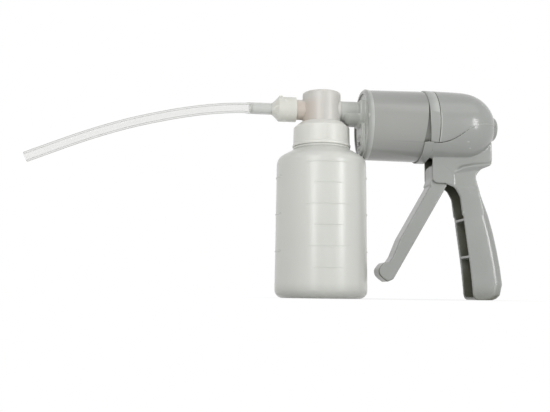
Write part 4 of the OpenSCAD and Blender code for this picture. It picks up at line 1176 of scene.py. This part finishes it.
def domePart(name, shape, walls, upper):
    # an outer and an inner wall, cut along the parting line, where the upper part's outer edge is rolled in
    parting = smoothLine([(handleX + x * mm, z * mm) for x, z in shape["parting"]])
    close, steps = shape["edgeShares"], shape["sides"]
    shares = close + [between((close[-1], 1 - close[-1]), i / steps) for i in range(1, steps)]
    shares += [1 - share for share in close[::-1]]
    verts, grids, faces = [], [], []
    for line in walls:
        rolled = upper and line is walls[0]
        grid = []
        for x, radius in line:
            along = x - handleX
            late = ease((along - shape["lipFrom"]) / shape["lipLength"])
            rear = ease((along - shape["lipEnd"]) / shape["lipFade"])
            gap, lip = between(shape["gap"], late), between(shape["lip"], late)
            drop = between(shape["lipDrop"], late) * (1 - rear)
            if rolled:
                gap += (shape["lap"] - gap) * rear
            up = heightOn(parting, x) + (gap if upper else -gap)
            start = math.asin(clamp(up / radius, -1, 1))
            low, high = (start, math.pi - start) if upper else (math.pi - start, 2 * math.pi + start)
            front = ease(1 - along / shape["slantLength"]) * shape["slant"] if upper else 0
            grid.append(range(len(verts), len(verts) + len(shares)))
            for share in shares:
                a = between((low, high), share)
                edge = radius * (high - low) * min(share, 1 - share)
                wide = radius - (drop * max(1 - edge / lip, 0) ** 2 if rolled else 0)
                lean = front * max(1 - edge / shape["slantHeight"], 0)
                verts.append((x + lean, wide * math.cos(a), axisZ + wide * math.sin(a)))
        grids.append(grid)
    sides = len(shares) - 1
    for grid in grids:
        for row, after in zip(grid, grid[1:]):
            faces += [(row[j], row[j + 1], after[j + 1], after[j]) for j in range(sides)]
    outer, inner = grids
    for edge in (0, sides):
        for i in range(len(outer) - 1):
            faces.append((outer[i][edge], outer[i + 1][edge], inner[i + 1][edge], inner[i][edge]))
    for end in (0, -1):
        for j in range(sides):
            faces.append((outer[end][j], outer[end][j + 1], inner[end][j + 1], inner[end][j]))
    return newPiece(name, verts, faces)


def makeDomeCover(shape):
    walls = domeWalls(shape, shape["cover"], shape["band"], shape["fade"])
    cover = domePart("domeCover", shape, walls, True)
    bevel(cover, 0.12 * mm, 2, 60)
    keepFlats(cover, 50)
    dress(cover, "greyPlastic", "pump", "dome_cover")


makeDomeCover(domeShape)

# Hoop: the lower shell's band that hugs the barrel, a little ahead of the upper cover's band
hoopShape = {
    "ahead": 3.3 * mm, "behind": 3.7 * mm, "outer": 28.1 * mm, "onBarrel": 27.08 * mm, "inShell": 25.8 * mm,
    "cutX": (-6 * mm, 8 * mm), "cutBack": 15.4 * mm, "below": 40 * mm, "half": 30 * mm,
}


def makeHoop(shape, dome):
    start, end = handleX - shape["ahead"], handleX + shape["behind"]
    outer, onBarrel, inShell = shape["outer"], shape["onBarrel"], shape["inShell"]
    hoop = lathe("hoop", rounded([
        (onBarrel, start), (outer, start, 0.6 * mm), (outer, end, 0.6 * mm), (inShell, end),
        (inShell, handleX), (onBarrel, handleX),
    ]), "X", barrelLine)
    left, right = (handleX + place for place in shape["cutX"])
    top, bottom = axisZ - dome["gap"][0], axisZ - shape["below"]
    lower = prism("lower", [
        (left, top + dome["parting"][0][1] * mm), (right, top - shape["cutBack"]),
        (right, bottom), (left, bottom),
    ], shape["half"])
    return combine(hoop, "INTERSECT", lower)


# Handle: lower shell, head with flat cheeks, and a grip with a deep channel in front
headX, webX, headBackX = handleX + 6.2 * mm, handleX + 40.3 * mm, handleX + 52.4 * mm
footFront, footBack = handleX + 36 * mm, handleX + 58.6 * mm
headLowZ, shellZ = pivotZ - 10.5 * mm, axisZ - 12 * mm
gripShape = {
    "half": 11 * mm, "inside": 9.1 * mm, "wall": 2 * mm, "corner": 7.5 * mm, "intoHead": 4 * mm,
    # share of the grip's height, then how far its front and its back are from the foot's, in mm
    "slices": [
        (0, 2.4, -6.1), (0.012, 0.8, -3.1), (0.04, -0.1, -0.3), (0.13, -0.7, 1.7), (0.27, -1.8, 0.2),
        (0.4, -3.2, -1.8), (0.55, -4.9, -4.55), (0.7, -6.5, -8.15), (0.85, -7.6, -13), (1, -8.4, -17.4),
    ],
    "channelPush": 4 * mm, "ribs": (0.36, 0.68), "rib": 1.9 * mm, "ribHalf": 12 * mm,
    "barrelRoom": 27.06 * mm, "barrelDepth": 7.8 * mm, "capRoom": 4.05 * mm, "capPlace": (9.8 * mm, 14 * mm),
    "bayLength": 12.5 * mm, "bayDrop": 24 * mm, "grid": 0.42 * mm, "keep": 0.45,
}


def gripRings(shape, half, inset, push, floorZ):
    rings = []
    radius = shape["corner"] - inset / 2
    topZ = headLowZ + shape["intoHead"]
    for share, front, back in shape["slices"]:
        z = between((floorZ, topZ), share)
        x0, x1 = footFront + front * mm - push, footBack + back * mm - inset
        ring = [(x0, -half), (x0, half)]
        ring += arc(x1 - radius, half - radius, radius, 90, 0)
        ring += arc(x1 - radius, radius - half, radius, 0, -90)
        rings.append([(x, y, z) for x, y in ring])
    return rings


def handleHead(shape):
    head = prism("head", rounded([
        (headX, shellZ), (headX, headLowZ, 4.5 * mm), (headX + 10 * mm, headLowZ - 0.1 * mm, 3 * mm),
        (headX + 17.2 * mm, headLowZ - 3 * mm, 6 * mm), (headX + 21 * mm, headLowZ - 10 * mm, 8 * mm),
        (headX + 22.6 * mm, headLowZ - 24 * mm), (headX + 40 * mm, headLowZ - 24 * mm),
        (webX + 1.5 * mm, headLowZ - 4 * mm, 5 * mm), (webX - 1.2 * mm, headLowZ + 6 * mm, 5 * mm),
        (webX + 3.6 * mm, headLowZ + 11.6 * mm, 5 * mm), (headBackX - 2 * mm, headLowZ + 14 * mm, 3.5 * mm),
        (headBackX, headLowZ + 18 * mm, 2.5 * mm), (headBackX, shellZ),
    ]), shape["half"])
    return bevel(head, 0.9 * mm, 3, 25)


def shellRooms(shape, dome):
    # the hollow of the dome, and the seat for the barrel
    radius, backX = dome["inside"], handleX + dome["straight"]
    tail, tailX = dome["tail"] - dome["tailWall"], domeHigh[0] - dome["tailWall"]
    turns = [math.radians(degrees) for degrees in range(6, 73, 6)]
    depth = dome["back"] - dome["backWall"]
    inside = lathe("inside", [
        (0, handleX - past), (radius, handleX - past), (radius, backX),
        *((radius * math.cos(a), backX + depth * math.sin(a)) for a in turns),
        (tail, tailX - dome["tailEdge"]), (tail, tailX), (0, tailX),
    ], "X", barrelLine, 96)
    front, end = handleX - 6 * mm, handleX + shape["barrelDepth"]
    seat = lathe("barrelRoom", [
        (0, front), (shape["barrelRoom"], front), (shape["barrelRoom"], handleX), (radius, handleX),
        (radius, end), (0, end),
    ], "X", barrelLine)
    return inside, seat


def headRooms(shape):
    # the bay that the trigger turns in, and the hollow behind it
    bayFront, bayBack = headX - 3 * mm, pivotX + shape["bayLength"]
    bayLow = pivotZ - shape["bayDrop"]
    bay = prism("bay", [
        (bayFront, bayLow), (bayBack - 0.5 * mm, bayLow), (bayBack, pivotZ - 7.4 * mm),
        (bayBack - 3 * mm, shellZ), (bayFront, shellZ),
    ], shape["inside"])
    rearFront, rearBack = bayBack + 2 * mm, headBackX - 1.9 * mm
    rear = prism("rear", [
        (rearFront, headLowZ + 14 * mm), (headBackX - 8 * mm, headLowZ + 15.5 * mm),
        (rearBack, headLowZ + 18.5 * mm), (rearBack, shellZ), (rearFront, shellZ),
    ], shape["inside"])
    return bay, rear


def gripChannel(shape):
    # open to the front, with ribs left across it
    wall = shape["wall"]
    channel = loft("channel", gripRings(shape, shape["inside"], wall, shape["channelPush"], wall))
    for share in shape["ribs"]:
        z = share * headLowZ
        rib = block("rib", (footFront - 12 * mm, z), (footBack, z + shape["rib"]), shape["ribHalf"])
        combine(channel, "DIFFERENCE", rib)
    return channel


# The thumb rests on a ledge that steps out of the cheeks, and the grip's sides are a little convex
saddleShape = {
    "ledge": [(98.6, 96.5), (100, 98.3), (105.2, 101.1), (114.4, 103.1), (130, 104.6)],
    "floor": [(99.1, 93.8), (106.5, 94.6), (115, 96), (130, 98)],
    "inner": 8, "soft": 2.5, "out": 2.2, "step": 3, "from": 97, "grow": 9,
    "bulge": 0.35, "bulgeInner": 10, "bulgeTop": 84, "bulgeFoot": 8, "bulgeHalf": 13,
    "bulgeShift": 3.75, "bulgeLean": 0.1,
}  # in mm


def shapeSides(piece, shape):
    foot = (footFront + footBack) / 2 / mm - shape["bulgeShift"]
    for vertex in piece.data.vertices:
        x, y, z = (value / mm for value in vertex.co)
        if abs(y) < shape["inner"]:
            continue
        outside = ease((abs(y) - shape["inner"]) / shape["soft"])
        top = heightOn(shape["ledge"], x)
        out = 0
        if x > shape["from"] and z < top:
            deep = top - heightOn(shape["floor"], x)
            lower = ease((top - z - shape["step"]) / (deep - shape["step"]))
            swell = ease((top - z) / shape["step"]) * (1 - lower)
            out = shape["out"] * swell * ease((x - shape["from"]) / shape["grow"]) * outside
        if z < shape["bulgeTop"] and abs(y) > shape["bulgeInner"]:
            middle = foot - shape["bulgeLean"] * z
            across = min(abs(x - middle) / shape["bulgeHalf"], 1)
            out += shape["bulge"] * (1 - across * across) * ease(z / shape["bulgeFoot"])
        vertex.co.y += math.copysign(out * mm, y)


def makeHandle(shape, dome):
    housing = domePart("handleHousing", dome, domeWalls(dome, dome["shell"]), False)
    grip = loft("grip", gripRings(shape, shape["half"], 0, 0, 0))
    combine(housing, "UNION", makeHoop(hoopShape, dome), handleHead(shape), grip)
    combine(housing, "DIFFERENCE", *shellRooms(shape, dome), *headRooms(shape))
    combine(housing, "DIFFERENCE", gripChannel(shape))
    capRoom = roundBar("capRoom", shape["capRoom"], *shape["capPlace"], "Z", sides=48)
    combine(housing, "DIFFERENCE", layOnPivot(capRoom, -90))
    moulded(housing, shape["grid"], 4)
    shapeSides(housing, saddleShape)
    thinned(housing, shape["keep"])
    dress(housing, "greyPlastic", "pump", "handle_housing")


makeHandle(gripShape, domeShape)
say("handle made")

# Trigger: long arm with a round toe, a channel behind, and a fork above the pivot
triggerShape = {
    "lean": 30.2, "half": 8.7, "foot": 2.8, "front": 1.2, "thick": 10.8, "wall": 2.4, "hub": 7.4,
    "toe": 5.2, "toeLift": 1.8, "fork": 4.8, "forkGap": 5.2, "slot": 2.3, "reach": 35.34, "pinHole": 2.55,
    "grid": 0.45, "keep": 0.5,
}  # in mm and degrees


def turned(points, degrees):
    # leans a side view in mm about the pivot, and keeps each corner's radius
    a = math.radians(degrees)
    out = []
    for point in points:
        x, z = point[:2]
        ahead, up = x * math.cos(a) + z * math.sin(a), z * math.cos(a) - x * math.sin(a)
        out.append((pivotX + ahead * mm, pivotZ + up * mm, *(radius * mm for radius in point[2:])))
    return out


def triggerArm(shape, length, half):
    front, thick, toe = shape["front"], shape["thick"], shape["toe"]
    back = thick - front
    toeZ = -(length - toe - shape["toeLift"])
    arm = prism("trigger", rounded(turned([
        (-front, -6), (-front, -0.65 * length, 14), (0.7, -0.8 * length, 7), (0.3, toeZ + 6.4, 3),
        (-toe * 0.62, toeZ + 4.4, 4), (-toe * 0.78, toeZ - 2.4, 4), (-1.4, toeZ - 5.4, 3.5),
        (2.2, -length + 0.6, 1.5), (thick - 4.4, -length + 0.2, 1.2), (back - 0.4, -length + 4.2, 2),
        (back, -7.7, 1), (2, 0),
    ], shape["lean"])), half)
    return bevel(arm, 1.1 * mm, 3, 30)


def triggerTop(shape, half):
    # the hub on the pivot, the web in front of it, and the fork for the piston rod's cross pin
    hubRadius, fork, slot, reach = (shape[key] for key in ("hub", "fork", "slot", "reach"))
    hub = prism("hub", turned(arc(0, 0, hubRadius, 0, 350, 36), 0), half)
    web = prism("web", rounded(turned([
        (-hubRadius, 1), (-hubRadius, -6.2), (-hubRadius - 2, -12, 1), (0, -13), (3, -4), (0, 3),
    ], 0)), half)
    fork = prism("fork", turned([
        (-fork, 0), (fork, 0), (fork, reach + 3), (slot, reach + 3), (slot, reach - 4),
        (-slot, reach - 4), (-slot, reach + 3), (-fork, reach + 3),
    ], squeeze / 2), half)
    return bevel(hub, 0.6 * mm, 2, 40), bevel(web, 0.6 * mm, 2, 40), fork


def makeTrigger(shape):
    length = pivotZ / mm - shape["foot"]
    half, wall, thick = shape["half"] * mm, shape["wall"], shape["thick"]
    arm = triggerArm(shape, length, half)
    combine(arm, "UNION", *triggerTop(shape, half))
    low, high = shape["hub"] + 3, shape["reach"] + 8
    room = prism("room", turned([
        (-14, low), (14, low), (14, high), (-14, high),
    ], squeeze / 2), shape["forkGap"] * mm)
    inner = wall - shape["front"]
    channel = prism("channel", rounded(turned([
        (inner, -18, 2), (inner, -0.64 * length), (wall + 1, -0.8 * length, 4),
        (wall + 3, -0.86 * length, 2), (thick + 2, -0.87 * length), (thick + 2, -18),
    ], shape["lean"])), half - wall * mm)
    pin = roundBar("pin", shape["pinHole"] * mm, -20 * mm, 20 * mm, "Z", sides=48)
    combine(arm, "DIFFERENCE", room, channel, layOnPivot(pin, 90))
    moulded(arm, shape["grid"] * mm, 3)
    thinned(arm, shape["keep"])
    dress(arm, "greyPlastic", "trigger_body", "trigger")


makeTrigger(triggerShape)

pivotCapShape = {"edge": 0.5 * mm, "dish": 0.4 * mm, "dishEdge": (0.55, 0.45), "soft": 0.3 * mm}


def makePivotCap(shape):
    radius = (capHigh[0] - capLow[0]) / 2
    near, far = capLow[1], capHigh[1]
    wide, narrow = (radius * share for share in shape["dishEdge"])
    floor = far - shape["dish"]
    cap = lathe("pivotCap", rounded([
        (0, near), (radius, near), (radius, far, shape["edge"]), (wide, far, shape["soft"]),
        (narrow, floor, shape["soft"]), (0, floor),
    ]), sides=64)
    layOnPivot(cap, -90)
    dress(cap, "greyPlastic", "pump", "pivot_cap")


makePivotCap(pivotCapShape)

springShape = {"turns": 5.0, "wire": 0.75 * mm}


def makeSpring(shape):
    radius = (springHigh[2] - springLow[2]) / 2
    wire = shape["wire"]
    length = springHigh[0] - springLow[0]
    spring = treePiece("returnSpring", helix, turns=shape["turns"], radius=radius - wire,
                       rise=length - 2 * wire, wire=wire, place=(springLow[0] + wire, 0, axisZ),
                       turn=(0, math.pi / 2, 0), finish=finish["steelAlongX"])
    dress(spring, "steelAlongX", "pump", "return_spring")
    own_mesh(spring)


makeSpring(springShape)
say("trigger and spring made")

# Inner pieces keep their exact shapes and get their own finishes
innerFinish = {
    "darkRubber": ("cover_seal", "nozzle_seal", "piston_seal", "float_seat"),
    "flapRubber": ("inlet_disc", "exhaust_disc"),
    "gasketRubber": ("port_gasket",),
    "whitePlastic": ("inlet_cage", "rod_guide", "piston_head", "float_cage", "float_ball"),
    "sleevePlastic": ("inlet_sleeve",),
    "steelAlongX": ("piston_rod", "piston_screw"),
    "steelAlongY": ("pivot_pin", "cross_pin"),
}
for look, pieces in innerFinish.items():
    for piece in pieces:
        for place in nodes[piece].material_slots:
            place.material = finish[look]

# Floor, backdrop and light
studio = {
    "floorSize": 40, "floorDrop": 0.05 * mm, "floorColour": (0.93, 0.93, 0.93),
    "mottle": 0.985, "mottleScale": 6, "world": 0.5,
    "shadowMiddle": (0.055, 0, 0), "shadowNear": 0.05, "shadowReach": 0.13, "shadowShare": 0.25,
}
white = (1, 1, 1, 1)


def seenRays(tree):
    # 1 for the camera's own rays, and for those that gloss and clear plastic send on
    rays = addNode(tree, "ShaderNodeLightPath").outputs
    seen = maths(tree, "MAXIMUM", rays["Is Camera Ray"], rays["Is Transmission Ray"])
    return maths(tree, "MAXIMUM", seen, rays["Is Glossy Ray"])


def makeFloor(setup):
    half = setup["floorSize"] / 2
    corners = [(-half, -half, 0), (half, -half, 0), (half, half, 0), (-half, half, 0)]
    floor = newPiece("floor", corners, [(0, 1, 2, 3)])
    material, tree, shader = blankMaterial("paleFloor")
    place = objectPlace(tree)
    colour = setup["floorColour"]
    low = tuple(setup["mottle"] * part for part in colour)
    base = mixTint(tree, noise(tree, place, setup["mottleScale"], 2), low, colour)
    setInputs(tree, shader, Base_Color=base, Roughness=0.9, Specular_IOR_Level=0)
    # seen directly, the floor is white, and keeps only a part of the object's shadow near it
    reach = addNode(tree, "ShaderNodeVectorMath", {"operation": "DISTANCE"})
    feed(tree, place, reach.inputs[0])
    feed(tree, setup["shadowMiddle"], reach.inputs[1])
    far = spread(tree, reach.outputs["Value"], setup["shadowNear"], setup["shadowReach"],
                 1 - setup["shadowShare"], 1, soft=True)
    share = maths(tree, "MULTIPLY", far, seenRays(tree))
    plain = addNode(tree, "ShaderNodeEmission", Color=white, Strength=1)
    both = mixShaders(tree, share, shader, plain)
    feed(tree, both, tree.nodes["Material Output"].inputs["Surface"])
    floor.data.materials.append(material)
    floor.data.transform(Matrix.Translation((0, 0, -setup["floorDrop"])))


def makeWorld(setup):
    world = bpy.data.worlds.new("studioWorld")
    bpy.context.scene.world = world
    world.use_nodes = True
    tree = world.node_tree
    tree.nodes.clear()
    light = addNode(tree, "ShaderNodeBackground", Color=white, Strength=setup["world"])
    backdrop = addNode(tree, "ShaderNodeBackground", Color=white, Strength=1)
    addNode(tree, "ShaderNodeOutputWorld", Surface=mixShaders(tree, seenRays(tree), light, backdrop))


def makeLamp(name, place, target, size, power):
    data = bpy.data.lights.new(name, "AREA")
    data.shape = "RECTANGLE"
    data.size, data.size_y = size
    data.energy = power
    lamp = bpy.data.objects.new(name, data)
    bpy.context.collection.objects.link(lamp)
    aim = Vector(target) - Vector(place)
    lamp.matrix_world = Matrix.Translation(place) @ aim.to_track_quat("-Z", "Y").to_matrix().to_4x4()


makeFloor(studio)
makeWorld(studio)
middle = (20 * mm, 0, 80 * mm)
lamps = [
    # name, place, target, width and height, power
    ("keyLamp", (-0.4, -0.8, 0.55), middle, (0.6, 0.6), 2.8),
    ("fillLamp", (0.5, -0.5, 0.9), middle, (0.7, 0.5), 1),
    ("boxLeft", (-0.406, -0.803, 0.12), (0, 0, 0.08), (0.13, 0.36), 1.5),
    ("boxRight", (0.65, -0.72, 0.235), (0.08, -0.02, 0.11), (0.2, 0.42), 2.8),
]
for lamp in lamps:
    makeLamp(*lamp)
bpy.context.scene.view_settings.view_transform = "Standard"

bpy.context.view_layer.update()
say("done")
